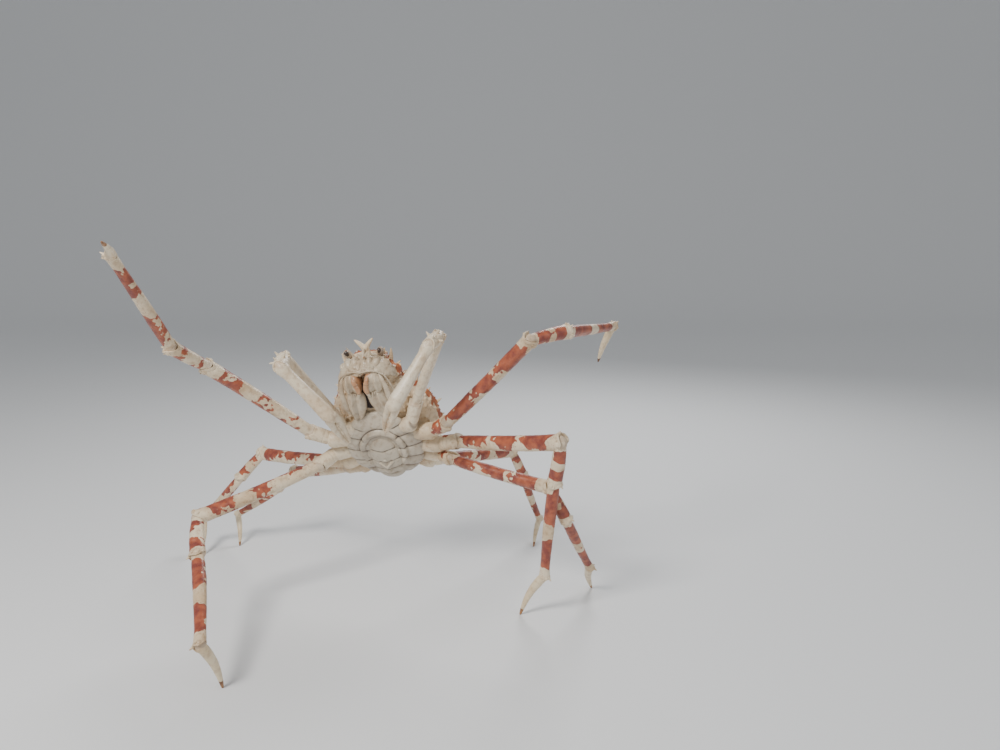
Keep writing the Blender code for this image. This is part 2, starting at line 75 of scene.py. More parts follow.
# %% Soft light panels
def panel(name, place, aim, size, power, tint=(1, 1, 1)):
    """A disk of light at a place, turned to a point."""
    light = bpy.data.objects.new(name, bpy.data.lights.new(name, "AREA"))
    scene.collection.objects.link(light)
    light.data.shape = "DISK"
    light.data.size = size
    light.data.energy = power
    light.data.color = tint
    light.location = place
    light.rotation_euler = (Vector(aim) - Vector(place)).to_track_quat("-Z", "Y").to_euler()


panel("key", (-1.2, -1.9, 2.5), (0, 0, 0.4), 0.9, 85, (1.0, 0.97, 0.93))
panel("fill", (2.4, -1.4, 1.4), (0, 0, 0.4), 1.8, 12, (0.94, 0.97, 1.0))
panel("rim", (0.9, 2.2, 2.2), (0, 0, 0.4), 1.2, 40)
world = bpy.data.worlds.new("studio")
scene.world = world
world.use_nodes = True
world.node_tree.nodes["Background"].inputs[0].default_value = (0.86, 0.88, 0.90, 1)
world.node_tree.nodes["Background"].inputs[1].default_value = 0.45
print("lights", len(bpy.data.lights))

# %% [markdown]
# ## The floor
# Photographers hang a wide paper roll that sweeps up behind the object, so that no horizon shows. A plane
# and a wall would meet in a line. One grid bent up in a quarter circle gives the sweep.

# %% Pale floor that sweeps up at the back
SWEEP_START, SWEEP_RADIUS = 6.0, 3.0
sheet = bmesh.new()
bmesh.ops.create_grid(sheet, x_segments=1, y_segments=60, size=1)
for vert in sheet.verts:
    far = (vert.co.y + 1) * 12 - 9
    past = max(far - SWEEP_START, 0)
    turn = min(past / SWEEP_RADIUS, math.pi / 2)
    climb = SWEEP_RADIUS * (1 - math.cos(turn)) + max(past - SWEEP_RADIUS * math.pi / 2, 0)
    vert.co = (vert.co.x * 14, min(far, SWEEP_START + SWEEP_RADIUS * math.sin(turn)), climb)
for face in sheet.faces:
    face.smooth = True
floor = bpy.data.objects.new("floor", bpy.data.meshes.new("floor"))
sheet.to_mesh(floor.data)
sheet.free()
scene.collection.objects.link(floor)
floor_paint = bpy.data.materials.new("floor_paint")
floor_paint.use_nodes = True
floor_paint.node_tree.nodes["Principled BSDF"].inputs["Base Color"].default_value = (0.78, 0.79, 0.80, 1)
floor_paint.node_tree.nodes["Principled BSDF"].inputs["Roughness"].default_value = 0.7
floor.data.materials.append(floor_paint)
print("floor faces", len(floor.data.polygons))

# %% [markdown]
# ## Sizes of the limbs
# A crab's limb has five long pieces: coxa, merus, carpus, propodus and dactyl. Their lengths and half
# thicknesses in metres are the same as in the solid model. They are written as tables by the number of the
# pair, from 1 for the claws to 5 for the last legs, because one change then reaches every piece.

# %% Lengths, half thicknesses and roots
WIDTH = 0.27
LENGTH = {1: (0.049, 0.204, 0.049, 0.150, 0.090), 2: (0.054, 0.290, 0.102, 0.260, 0.115),
          3: (0.057, 0.300, 0.105, 0.248, 0.120), 4: (0.048, 0.270, 0.092, 0.205, 0.108),
          5: (0.046, 0.246, 0.086, 0.187, 0.094)}
HALF = {1: ((0.0180, 0.0170), (0.0138, 0.0128), (0.0150, 0.0145), (0.0158, 0.0140), (0.0090, 0.0080)),
        2: ((0.0200, 0.0190), (0.0185, 0.0160), (0.0170, 0.0150), (0.0150, 0.0125), (0.0110, 0.0095)),
        3: ((0.0200, 0.0190), (0.0178, 0.0150), (0.0162, 0.0140), (0.0145, 0.0120), (0.0108, 0.0094)),
        4: ((0.0190, 0.0180), (0.0165, 0.0140), (0.0150, 0.0130), (0.0132, 0.0110), (0.0102, 0.0088)),
        5: ((0.0175, 0.0165), (0.0148, 0.0125), (0.0136, 0.0118), (0.0118, 0.0098), (0.0092, 0.0080))}
COXA = {1: (0.31, 0.22, 0.02), 2: (0.46, 0.10, 0.05), 3: (0.48, -0.08, 0.09),
        4: (0.44, -0.24, 0.14), 5: (0.33, -0.36, 0.20)}
COXA_ROOT = {1: (0.17, 0.16, 0.07), 2: (0.22, 0.06, 0.09), 3: (0.22, -0.06, 0.11),
             4: (0.20, -0.17, 0.15), 5: (0.14, -0.25, 0.19)}
print("longest leg", round(sum(LENGTH[3]), 3), "m")

# %% [markdown]
# ## The pose
# The front legs are raised and spread, the claws hang before the mouth, and the other legs stand. An
# armature could hold the pose, but this is a still model. So each limb is a list of the directions of its
# pieces from root to tip, as azimuth and elevation in degrees. They come from a fit to joints marked on
# the photo, in which the depth of each limb had to be guessed.

# %% Directions of every limb
POSE = {
    "right_1": ((-132, 59), (-128, 48), (-84, -16), (0, -47), (56, -52)),
    "left_1": ((1, 76), (-55, 57), (-112, -16), (-152, -56), (119, -52)),
    "right_2": ((-172, 21), (-151, 38), (-125, 32), (-102, 50), (-70, 13)),
    "left_2": ((-38, 27), (-22, 45), (32, 7), (59, -3), (118, -59)),
    "right_3": ((-140, -26), (-145, -14), (-72, -31), (-70, -26), (58, -68)),
    "left_3": ((-31, 12), (-39, 9), (108, -71), (108, -63), (162, -61)),
    "right_4": ((172, 1), (144, -6), (181, -47), (155, -40), (-81, -53)),
    "left_4": ((-50, -4), (-33, -5), (17, -61), (57, -59), (78, -51)),
    "right_5": ((164, -10), (139, -14), (153, -44), (154, -33), (-71, -56)),
    "left_5": ((27, 5), (48, -9), (41, -61), (58, -55), (-105, -38))}
RAISED = ("right_1", "left_1", "right_2", "left_2")
print("limbs", len(POSE), "standing", len(POSE) - len(RAISED))

# %% [markdown]
# ## From directions to joints
# The crab rears up, so its body has axes of its own: out to its left side, ahead from tail to head, and up
# through its back. Every root is given on those axes. A standing leg must reach the floor exactly, so the
# slope of its fourth piece is worked out from the height that is left.

# %% Body axes and joints
def body_axes(pitch=math.radians(65), yaw=math.radians(-6), roll=math.radians(8)):
    """The body's own left, ahead and back directions."""
    ahead = Vector((0, -math.cos(pitch), math.sin(pitch)))
    back = Vector((0, math.sin(pitch), math.cos(pitch)))
    left = Vector((1, 0, 0))
    c, s = math.cos(roll), math.sin(roll)
    turn = Matrix.Rotation(yaw, 3, "Z")
    return turn @ (c * left + s * ahead), turn @ (c * ahead - s * left), turn @ back


LEFT, AHEAD, BACK = body_axes()
BREAST_MIDDLE = Vector((0, 0, 0.38)) - SHIFT


def body_point(side, forward, dorsal):
    """A place on the body, from shares of the width of its shell."""
    return BREAST_MIDDLE + WIDTH * (side * LEFT + forward * AHEAD + dorsal * BACK)


def direction(azimuth, elevation):
    """A unit vector from two angles in degrees."""
    a, e = math.radians(azimuth), math.radians(elevation)
    return Vector((math.cos(e) * math.cos(a), math.cos(e) * math.sin(a), math.sin(e)))


def chain(limb):
    """The joints of a limb from its root to its tip."""
    pair = int(limb[-1])
    out, forward, dorsal = COXA[pair]
    points = [body_point(out if limb.startswith("left") else -out, forward, dorsal)]
    angles = [list(each) for each in POSE[limb]]
    if limb not in RAISED:
        reach = points[0].copy()
        for (azimuth, elevation), length in zip(angles[:3], LENGTH[pair][:3]):
            reach += length * direction(azimuth, elevation)
        knuckle = -LENGTH[pair][4] * math.sin(math.radians(angles[4][1]))
        angles[3][1] = math.degrees(math.asin((knuckle - reach.z) / LENGTH[pair][3]))
    for (azimuth, elevation), length in zip(angles, LENGTH[pair]):
        points.append(points[-1] + length * direction(azimuth, elevation))
    return points


print("left third foot at", [round(v, 3) for v in chain("left_3")[-1]])

# %% [markdown]
# ## Small curves
# Shell plates swell and pinch in smooth ways. A few numbers in a row are enough to say how, if a curve runs
# smoothly through them. Blender's own curves can do it too, but a short function can be called for any place.

# %% Curves, tables and humps
def spline(rows, u):
    """Smooth values between rows of numbers, on a Catmull-Rom curve."""
    place = min(max(u, 0), 1) * (len(rows) - 1)
    k = min(int(place), len(rows) - 2)
    t = place - k
    a, b, c, d = rows[max(k - 1, 0)], rows[k], rows[k + 1], rows[min(k + 2, len(rows) - 1)]
    return [0.5 * (2 * q + t * (r - p) + t * t * (2 * p - 5 * q + 4 * r - s)
                   + t ** 3 * (3 * q - p - 3 * r + s)) for p, q, r, s in zip(a, b, c, d)]


def table(rows, x):
    """Value at x from a short table of (place, value)."""
    for (x0, y0), (x1, y1) in zip(rows, rows[1:]):
        if x <= x1:
            t = min(max((x - x0) / (x1 - x0), 0), 1)
            return y0 + (y1 - y0) * t * t * (3 - 2 * t)
    return rows[-1][1]


def hump(x, middle, width):
    """A bell of height 1 round the middle."""
    return math.exp(-((x - middle) / width) ** 2)


def across(axis, side):
    """Two directions square to an axis: in the bending plane, then along the side vector."""
    wide = (side - side.dot(axis) * axis).normalized()
    return wide.cross(axis).normalized(), wide


print("half way up a hump", round(hump(0.83, 0, 1), 2))

# %% [markdown]
# ## Rolling a sheet into a shell plate
# A plate is a grid whose points are moved by a function of two shares: u along the plate and v round it.
# The seam and the two ends close when points that meet are merged. Each point also stores how red it may
# be and how much shade is painted on it in creases, and the paint reads those two numbers later. Each skin
# starts in a bmesh of its own, because an operator on a mesh with a thousand skins in it would be slow.

# %% The plate maker
def skinned(skins):
    """One bmesh from skins of (surface function, steps along, steps round)."""
    whole = bmesh.new()
    for surface, along, around in skins:
        mesh = bmesh.new()
        mesh.loops.layers.uv.new("UVMap")
        red = mesh.verts.layers.float.new("red")
        # The dark layer holds the shade painted into creases and grooves.
        dark = mesh.verts.layers.float.new("dark")
        bmesh.ops.create_grid(mesh, x_segments=along, y_segments=around, size=0.5, calc_uvs=True)
        for vert in mesh.verts:
            vert.co, vert[red], vert[dark] = surface(round(vert.co.x + 0.5, 5), vert.co.y + 0.5)
        bmesh.ops.remove_doubles(mesh, verts=mesh.verts, dist=0.000002)
        bmesh.ops.recalc_face_normals(mesh, faces=mesh.faces)
        part = bpy.data.meshes.new("skin")
        mesh.to_mesh(part)
        mesh.free()
        whole.from_mesh(part)
        bpy.data.meshes.remove(part)
    for face in whole.faces:
        face.smooth = True
    return whole


def plate(name, skins, material, replaced=()):
    """One object from skins, on the root body, in place of the named nodes of the solid model."""
    mesh = skinned(skins)
    thing = bpy.data.objects.new(name, bpy.data.meshes.new(name))
    mesh.to_mesh(thing.data)
    mesh.free()
    scene.collection.objects.link(thing)
    thing.data.materials.append(material)
    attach(thing, "root")
    if replaced:
        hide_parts(*replaced)
    return thing


print("plate maker ready")

# %% [markdown]
# ## A ring rolled along a line
# Legs and feelers are round in section. So one function rolls a ring along a line, adds low lumps from
# noise, flares the rim where a collar needs a saddle shape, and marks the creases that get painted shade.
# Even steps would waste faces on the straight parts, so another function puts the rings closer where the
# skin turns.

# %% Rings
def evened(rows, length, half):
    """Spread the steps along the rows so that the rings lie closer where the skin turns."""
    marks = [0.0]
    for (a, b, c), (d, e, f) in zip(rows, rows[1:]):
        along = 0.5 * (d - a) * length + (e - b) * half
        marks.append(marks[-1] + math.hypot(along, (f - c) * half) + 0.0005)

    def row_place(u):
        target = u * marks[-1]
        k = min(bisect_right(marks, target) - 1, len(rows) - 2)
        return (k + (target - marks[k]) / (marks[k + 1] - marks[k])) / (len(rows) - 1)
    return row_place


def rolled(ring, paint=None, crease=(), lumps=0.02, ribs=0.0, rim=None):
    """Surface from a ring function: u gives (share, centre, tall half axis, wide half axis)."""
    def surface(u, v):
        t, centre, tall, wide = ring(u)
        a = 2 * math.pi * v
        c, s = math.cos(a), math.sin(a)
        near = table(((0.93, 0), (0.995, 1)), t) if rim else 0
        out = (1 - near * (0.05 + 0.09 * c)) * (c * tall + s * wide)
        place = centre + out
        if near:
            place += near * (0.5 * s * s - 0.45 * max(c, 0) - 0.1) * rim
        fine = 0.5 * lumps * noise.noise(place * 170)
        grow = lumps * noise.noise(place * 55) + fine + ribs * math.cos(7 * a)
        redness = paint(t, -c) if paint else -1.0
        # The third number is the shade painted into the creases.
        return place + grow * out, redness, sum(d * hump(t, m, w) for m, w, d in crease)
    return surface


print("half way along three even rows", evened(((0, 0, 1), (0.5, 0, 1), (1, 0, 1)), 1, 1)(0.5))

# %% [markdown]
# ## Tubes and sweeps
# Two kinds of line are enough for the whole animal. A limb piece runs almost straight from joint to joint
# with a small bow, and everything else bends through a few places. Both hand their rings to the function
# above, and remember them, because all the points of a ring share one centre.

# %% Tubes and sweeps
def tube(start, end, half, side, rows, bow=0.0, **look):
    """Surface of a limb piece: ovals that follow rows of (share, extra half thicknesses, size)."""
    run = end - start
    length = run.length
    tall, wide = across(run.normalized(), side)
    row_place = evened(rows, length, half[0])
    if look.pop("saddle", False):
        look["rim"] = half[0] * run.normalized()

    @lru_cache(None)
    def ring(u):
        share, extra, size = spline(rows, row_place(u))
        t = share + extra * half[0] / length
        centre = start + t * run + bow * length * math.sin(math.pi * min(max(t, 0), 1)) * tall
        return t, centre, max(size, 0) * half[0] * tall, max(size, 0) * half[1] * wide
    return rolled(ring, **look)


def sweep(stops, side, **look):
    """Surface of a bent tube through stops of (centre, half tall, half wide)."""
    rows = [(*centre, tall, wide) for centre, tall, wide in stops]

    @lru_cache(None)
    def ring(u):
        x, y, z, h0, h1 = spline(rows, u)
        ahead = Vector(spline(rows, min(u + 0.01, 1))[:3]) - Vector(spline(rows, max(u - 0.01, 0))[:3])
        tall, wide = across(ahead.normalized(), side)
        return u, Vector((x, y, z)), max(h0, 0) * tall, max(h1, 0) * wide
    return rolled(ring, **look)


trial = sweep(((Vector(), 0.01, 0.01), (BACK, 0.01, 0.01)), LEFT, lumps=0.0)
print("half way along a trial tube", [round(v, 3) for v in trial(0.5, 0.0)[0]])

# %% [markdown]
# ## Spikes and knobs
# The shell carries hundreds of spines and rounded bosses. A cone would end in a needle and a ball would look
# stuck on. So a spike has a thick root that can be sunk in the plate and a rounded point, and a knob is a
# ball that can be flat along its axis.

# %% Spikes and knobs
def spike(root, tip, half, bend=None, redness=-1.0, blunt=0.15):
    """Surface of a spine: thick root, optional sideways bend, rounded point."""
    run = tip - root
    tall, wide = across(run.normalized(), Vector((0.31, 0.42, 0.85)))
    bend = bend or Vector()

    def surface(u, v):
        t = 1 - (1 - u) ** 1.4
        point = math.sqrt(max(1 - max(t - 0.85, 0) ** 2 / 0.0225, 0))
        size = half * ((1 - t) ** 0.8 * (1 - blunt) + blunt) * point
        a = 2 * math.pi * v
        centre = root + t * run + math.sin(math.pi * t) * bend
        # The root of each spine gets painted shade where it meets the shell.
        return centre + size * (math.cos(a) * tall + math.sin(a) * wide), redness, 0.2 * (1 - t) ** 3
    return surface


def knob(middle, axis, half, tall_share=1.0, redness=-1.0):
    """Surface of a rounded boss."""
    axis = axis.normalized()
    tall, wide = across(axis, Vector((0.31, 0.42, 0.85)))

    def surface(u, v):
        polar, a = math.pi * u, 2 * math.pi * v
        out = math.sin(polar) * (math.cos(a) * tall + math.sin(a) * wide)
        return middle + half * (out - tall_share * math.cos(polar) * axis), redness, 0.0
    return surface


print("root of a trial spike", round(spike(Vector(), LEFT, 0.1)(0.0, 0.0)[0].length, 3))

# %% [markdown]
# ## Wiring a material
# A material is a net of nodes. Placing them by hand is clear for one material, but ten of them would fill
# pages. This helper makes a node and either sets its inputs or links them, whichever it is given.

# %% Helper for shader nodes
def shader_tools(name):
    """A new material with its tree, its shader and a function that adds nodes."""
    material = bpy.data.materials.new(name)
    material.use_nodes = True
    tree = material.node_tree
    shader = tree.nodes["Principled BSDF"]

    def node(kind, values=None, **settings):
        made = tree.nodes.new(kind)
        for key, value in settings.items():
            setattr(made, key, value)
        for key, value in (values or {}).items():
            if isinstance(value, bpy.types.NodeSocket):
                tree.links.new(value, made.inputs[key])
            else:
                made.inputs[key].default_value = value
        return made
    return material, tree, shader, node


print("shader helper ready")

# %% [markdown]
# ## Shell paint
# Crab shell is hard and slightly wet. On the real animal the cream and the rust red meet at a crisp edge.
# An image could hold that pattern, but it would blur close up. So the red number of each point is roughened
# with noise and then cut at zero. Creases get painted shade, and fine pores and grains come from a bump.

# %% The paint for every kind of shell
def shell_paint(name, cream, cream_deep, red, red_deep, patch=1.9, patch_scale=34, grain=0.22, rough=0.40,
                speckle=0.0):
    """Two tones of cream and two of red, split by the red number, with painted shade in creases, stains and
    pores.
    """
    material, tree, shader, node = shader_tools(name)
    place = node("ShaderNodeTexCoord").outputs["Object"]

    def cloud(scale, detail=3.0, roughness=0.5, warp=0.0):
        return node("ShaderNodeTexNoise", {"Vector": place, "Scale": scale, "Detail": detail,
                                           "Roughness": roughness, "Distortion": warp}).outputs["Fac"]

    def maths(operation, first, second, third=0.0):
        return node("ShaderNodeMath", {0: first, 1: second, 2: third}, operation=operation).outputs[0]

    def ramp(value, low, high):
        return node("ShaderNodeMapRange", {"Value": value, "From Min": low, "From Max": high},
                    interpolation_type="SMOOTHSTEP").outputs["Result"]

    def mixed(share, first, second, blend="MIX"):
        made = node("ShaderNodeMix", data_type="RGBA", blend_type=blend)
        tree.links.new(share, made.inputs[0])
        for socket, value in ((made.inputs[6], first), (made.inputs[7], second)):
            if isinstance(value, bpy.types.NodeSocket):
                tree.links.new(value, socket)
            else:
                socket.default_value = (*value, 1)
        return made.outputs[2]

    redness = node("ShaderNodeAttribute", attribute_name="red").outputs["Fac"]
    crease = node("ShaderNodeAttribute", attribute_name="dark").outputs["Fac"]
    edge = maths("MULTIPLY_ADD", maths("SUBTRACT", cloud(patch_scale, 2.0, 0.5, 0.8), 0.5), patch, redness)
    edge = maths("MULTIPLY_ADD", maths("SUBTRACT", cloud(2.6 * patch_scale, 2.0), 0.5), 0.6 * patch, edge)
    mask = ramp(edge, -0.04, 0.04)
    pale = mixed(ramp(cloud(14), 0.35, 0.7), cream, cream_deep)
    rust = mixed(ramp(cloud(48), 0.35, 0.65), red, red_deep)
    colour = mixed(mask, pale, rust)
    if speckle:
        dots = node("ShaderNodeTexVoronoi", {"Vector": place, "Scale": 260.0}).outputs["Distance"]
        spots = maths("MULTIPLY", ramp(dots, 0.30, 0.18), ramp(cloud(40), 0.46, 0.60))
        colour = mixed(maths("MULTIPLY", spots, speckle), colour, red)
    stain = maths("MULTIPLY", ramp(cloud(95, 4), 0.46, 0.72), 0.42)
    colour = mixed(stain, colour, (0.50, 0.36, 0.25), "MULTIPLY")
    # Painted shade: the crease number darkens the colour toward a near-black brown in creases and grooves.
    colour = mixed(ramp(crease, 0.0, 1.0), colour, (0.10, 0.065, 0.05))
    tree.links.new(colour, shader.inputs["Base Color"])
    pores = node("ShaderNodeTexVoronoi", {"Vector": place, "Scale": 420.0}).outputs["Distance"]
    swell = maths("ADD", cloud(210, 4), maths("MULTIPLY", cloud(60), 1.5))
    relief = maths("ADD", maths("MULTIPLY", pores, 0.5), swell)
    bump = node("ShaderNodeBump", {"Height": relief, "Strength": grain, "Distance": 0.0016})
    tree.links.new(bump.outputs[0], shader.inputs["Normal"])
    sheen = node("ShaderNodeMapRange", {"Value": cloud(90), "From Min": 0.3, "From Max": 0.7,
                                        "To Min": rough - 0.08, "To Max": rough + 0.12})
    tree.links.new(sheen.outputs["Result"], shader.inputs["Roughness"])
    shader.inputs["Coat Weight"].default_value = 0.18
    shader.inputs["Coat Roughness"].default_value = 0.22
    return material


print("shell paint ready")

# %% [markdown]
# ## The colours of this animal
# The legs are rust and cream, the claws nearly all cream, the underside grey cream, and the back orange
# brown. One paint for all would look like plastic. Each finish has its own pair of tones and its own grain,
# read from the photo, with the blue of the aquarium light left out.

# %% Materials
leg_paint = shell_paint("leg_paint", (0.78, 0.66, 0.48), (0.58, 0.42, 0.25), (0.42, 0.105, 0.045),
                        (0.22, 0.042, 0.028), patch=2.1, grain=0.5, speckle=0.6)
claw_paint = shell_paint("claw_paint", (0.76, 0.66, 0.50), (0.62, 0.48, 0.32), (0.62, 0.33, 0.15),
                         (0.5, 0.22, 0.10), patch=0.9, grain=0.55, speckle=0.15)
tip_paint = shell_paint("tip_paint", (0.78, 0.67, 0.48), (0.66, 0.50, 0.30), (0.36, 0.17, 0.06),
                        (0.16, 0.07, 0.03), patch=0.6, patch_scale=60, grain=0.3, rough=0.32)
belly_paint = shell_paint("belly_paint", (0.56, 0.49, 0.38), (0.40, 0.33, 0.25), (0.80, 0.71, 0.56),
                          (0.72, 0.60, 0.44), patch=0.4, grain=0.45)
mouth_paint = shell_paint("mouth_paint", (0.60, 0.51, 0.38), (0.46, 0.35, 0.23), (0.55, 0.33, 0.18),
                          (0.48, 0.24, 0.12), patch=0.8, patch_scale=70, grain=0.45)
stalk_paint = shell_paint("stalk_paint", (0.46, 0.38, 0.30), (0.30, 0.22, 0.16), (0.46, 0.22, 0.11),
                          (0.34, 0.13, 0.06), patch=0.9, patch_scale=80, grain=0.5)
back_paint = shell_paint("back_paint", (0.74, 0.60, 0.42), (0.60, 0.44, 0.27), (0.50, 0.17, 0.055),
                         (0.33, 0.085, 0.035), patch=1.0, patch_scale=26, grain=0.4, rough=0.46)
skin_paint = shell_paint("skin_paint", (0.66, 0.54, 0.40), (0.50, 0.37, 0.25), (0.4, 0.2, 0.12),
                         (0.3, 0.15, 0.1), patch=0.4, grain=0.5, rough=0.5)
# A near-black paint with no coat and little gloss: painted shadow for the opening of the mouth behind the
# doors.
gape_shadow_paint = shell_paint("gape_shadow_paint", (0.030, 0.020, 0.018), (0.020, 0.013, 0.011), (0.05, 0.02, 0.014),
                         (0.04, 0.018, 0.012), patch=0.8, grain=0.5, rough=0.6)
gape_shadow_shader = gape_shadow_paint.node_tree.nodes["Principled BSDF"]
gape_shadow_shader.inputs["Coat Weight"].default_value = 0.0
gape_shadow_shader.inputs["Specular IOR Level"].default_value = 0.15
eye_paint = shell_paint("eye_paint", (0.045, 0.030, 0.024), (0.080, 0.045, 0.026), (0.10, 0.05, 0.025),
                        (0.06, 0.03, 0.02), patch=0.5, patch_scale=200, grain=0.05, rough=0.18)
print("materials", len(bpy.data.materials))

# %% [markdown]
# ## The shape of a leg piece
# Each long piece starts as a narrow neck, swells, and ends in a flared collar that the next piece turns in.
# A cylinder with a ring on it would look like a pipe. So the outline is a row of steps: share of the length,
# a push along it in half thicknesses, and the size there. The rows of the lip turn back into the collar.

# %% Outlines of the leg pieces
LIP = ((1.0, -0.45, 1.08), (1.0, -0.20, 1.16), (1.0, 0.0, 1.22), (1.0, 0.13, 1.22), (1.0, 0.22, 1.15),
       (1.0, 0.20, 1.04), (1.0, 0.08, 0.92), (1.0, -0.10, 0.60), (1.0, -0.15, 0))
MERUS = ((0, -0.5, 0), (0, -0.45, 0.45), (0, -0.2, 0.72), (0.02, 0, 0.82), (0.06, 0, 0.87), (0.15, 0, 0.92),
         (0.30, 0, 0.98), (0.50, 0, 1.0), (0.70, 0, 1.02), (0.86, 0, 1.02)) + LIP
CARPUS = ((0, -0.4, 0), (0, -0.35, 0.45), (0, -0.1, 0.70), (0, 0.35, 0.82), (0.25, 0, 0.92), (0.50, 0, 1.0),
          (0.75, 0, 1.03)) + LIP
PROPODUS = ((0, -0.4, 0), (0, -0.35, 0.45), (0, -0.05, 0.76), (0, 0.5, 0.90), (0.12, 0, 0.98), (0.30, 0, 1.0),
            (0.50, 0, 0.94), (0.70, 0, 0.85), (0.86, 0, 0.79)) + tuple((t, e, 0.83 * s) for t, e, s in LIP)
DACTYL = ((0, -0.4, 0), (0, -0.35, 0.5), (0, -0.05, 0.82), (0.05, 0, 0.98), (0.15, 0, 1.0), (0.30, 0, 0.93),
          (0.50, 0, 0.80), (0.70, 0, 0.62), (0.86, 0, 0.44), (0.95, 0, 0.31), (0.985, 0, 0.22),
          (0.999, 0, 0.16), (1.0, 0, 0))
ROWS = {"merus": MERUS, "carpus": CARPUS, "propodus": PROPODUS}
BOW = {"merus": 0.012, "carpus": -0.02, "propodus": 0.008, "dactyl": 0.06}
COLLAR = {"propodus": 0.83}
print("rows of the merus", len(MERUS))

# %% [markdown]
# ## Bands of red
# The legs of this animal have rust bands on the side that faces out, and stay cream inside and at the
# joints. The bands could be painted on by hand. A short table of how red each share of the length may be
# does it for all eight legs, and the noise in the paint makes each edge different.

# %% How red a point may be
BANDS = {
    "ischium": ((0, -0.9), (0.4, -0.5), (0.7, -0.35), (1.0, -0.8)),
    "merus": ((0, -0.9), (0.06, -0.4), (0.13, 0.15), (0.24, 0.10), (0.34, -0.30), (0.42, -0.05), (0.49, 0.45),
              (0.55, 0.40), (0.61, -0.45), (0.68, -0.15), (0.76, 0.60), (0.88, 0.55), (0.93, -0.5),
              (1.0, -0.9)),
    "carpus": ((0, -0.9), (0.12, -0.4), (0.22, 0.45), (0.38, 0.35), (0.47, -0.7), (0.56, -0.5), (0.66, 0.45),
               (0.84, 0.45), (0.91, -0.7), (1.0, -0.9)),
    "propodus": ((0, -0.9), (0.06, -0.4), (0.13, 0.65), (0.38, 0.6), (0.46, -0.7), (0.56, -0.7), (0.64, 0.65),
                 (0.86, 0.6), (0.93, -0.8), (1.0, -0.9)),
    "dactyl": ((0, -0.8), (0.5, -0.55), (0.80, -0.35), (0.93, 0.4), (1.0, 0.8))}


def band_paint(kind):
    """How red a point is, from its share of the length and how far it lies on the outer side."""
    weight = 0.1 if kind == "dactyl" else 0.48
    return lambda t, outer: table(BANDS[kind], t) + weight * outer - 0.05


print("bands for", ", ".join(BANDS))

# %% [markdown]
# ## Collars and joint skin
# A real joint hinges on a boss at each side of the collar, and short spurs keep it from bending too far.
# Between the plates lies soft wrinkled skin. The bosses and spurs are small skins sunk in the collar, and
# the skin is one tube that bends through the joint, so that no gap shows from any side.

# %% Spurs, bosses and joint skin
def collar_bits(start, end, half, side, spur=0.009, size=0.0042):
    """Spurs on the outer side of the collar, and a hinge boss on each side of it."""
    axis = (end - start).normalized()
    tall, wide = across(axis, side)
    bits = []
    for turn, grow in ((180, 1.0), (118, 0.7), (-118, 0.7)):
        a = math.radians(turn)
        out = math.cos(a) * half[0] * tall + math.sin(a) * half[1] * wide
        skin = end + 1.10 * out
        lean = (0.75 * out.normalized() + 0.65 * axis).normalized()
        root = skin - 0.3 * out - 0.2 * half[0] * axis
        bits.append((spike(root, skin + grow * spur * lean, grow * size), 9, 12))
    for way in (1, -1):
        bits.append((knob(end + 0.04 * half[0] * axis + way * 1.08 * half[1] * wide, way * wide,
                          0.38 * half[0], 0.55), 10, 16))
    return bits


def joint_skin(start, middle, end, half_before, half_after, side):
    """Soft wrinkled skin between two pieces, bent through the joint."""
    first = (middle - start).normalized()
    second = (end - middle).normalized()
    low = middle - 0.25 * half_before[0] * first
    high = middle + 0.75 * half_after[0] * second
    knee = middle + 0.15 * half_before[0] * first

    @lru_cache(None)
    def ring(u):
        centre = (1 - u) ** 2 * low + 2 * u * (1 - u) * knee + u * u * high
        tall, wide = across(first.lerp(second, u).normalized(), side)
        close = math.sqrt(max(1 - (2 * u - 1) ** 12, 0)) * (1 + 0.012 * math.sin(22 * u))
        size = [close * (0.98 * (1 - u) * before + 0.84 * u * after)
                for before, after in zip(half_before, half_after)]
        return u, centre, size[0] * tall, size[1] * wide
    # The two wrinkles of the joint skin get painted shade.
    return rolled(ring, crease=((0.35, 0.08, 0.16), (0.72, 0.08, 0.14)), lumps=0.05)


def bend_side(points):
    """The direction of the hinge, square to the plane in which the limb bends."""
    thigh = (points[2] - points[1]).normalized()
    shin = (points[4] - points[2]).normalized()
    return thigh.cross(shin).normalized()


print("hinge of the left third leg", [round(v, 2) for v in bend_side(chain("left_3"))])

# %% [markdown]
# ## The root of a limb
# At the body every limb starts with the coxa, a rounded lobe in its socket. Two short fused pieces follow
# up to the thigh, with a seam round them. They get skins of their own, because the lobe turns one way and
# the fused pieces another.

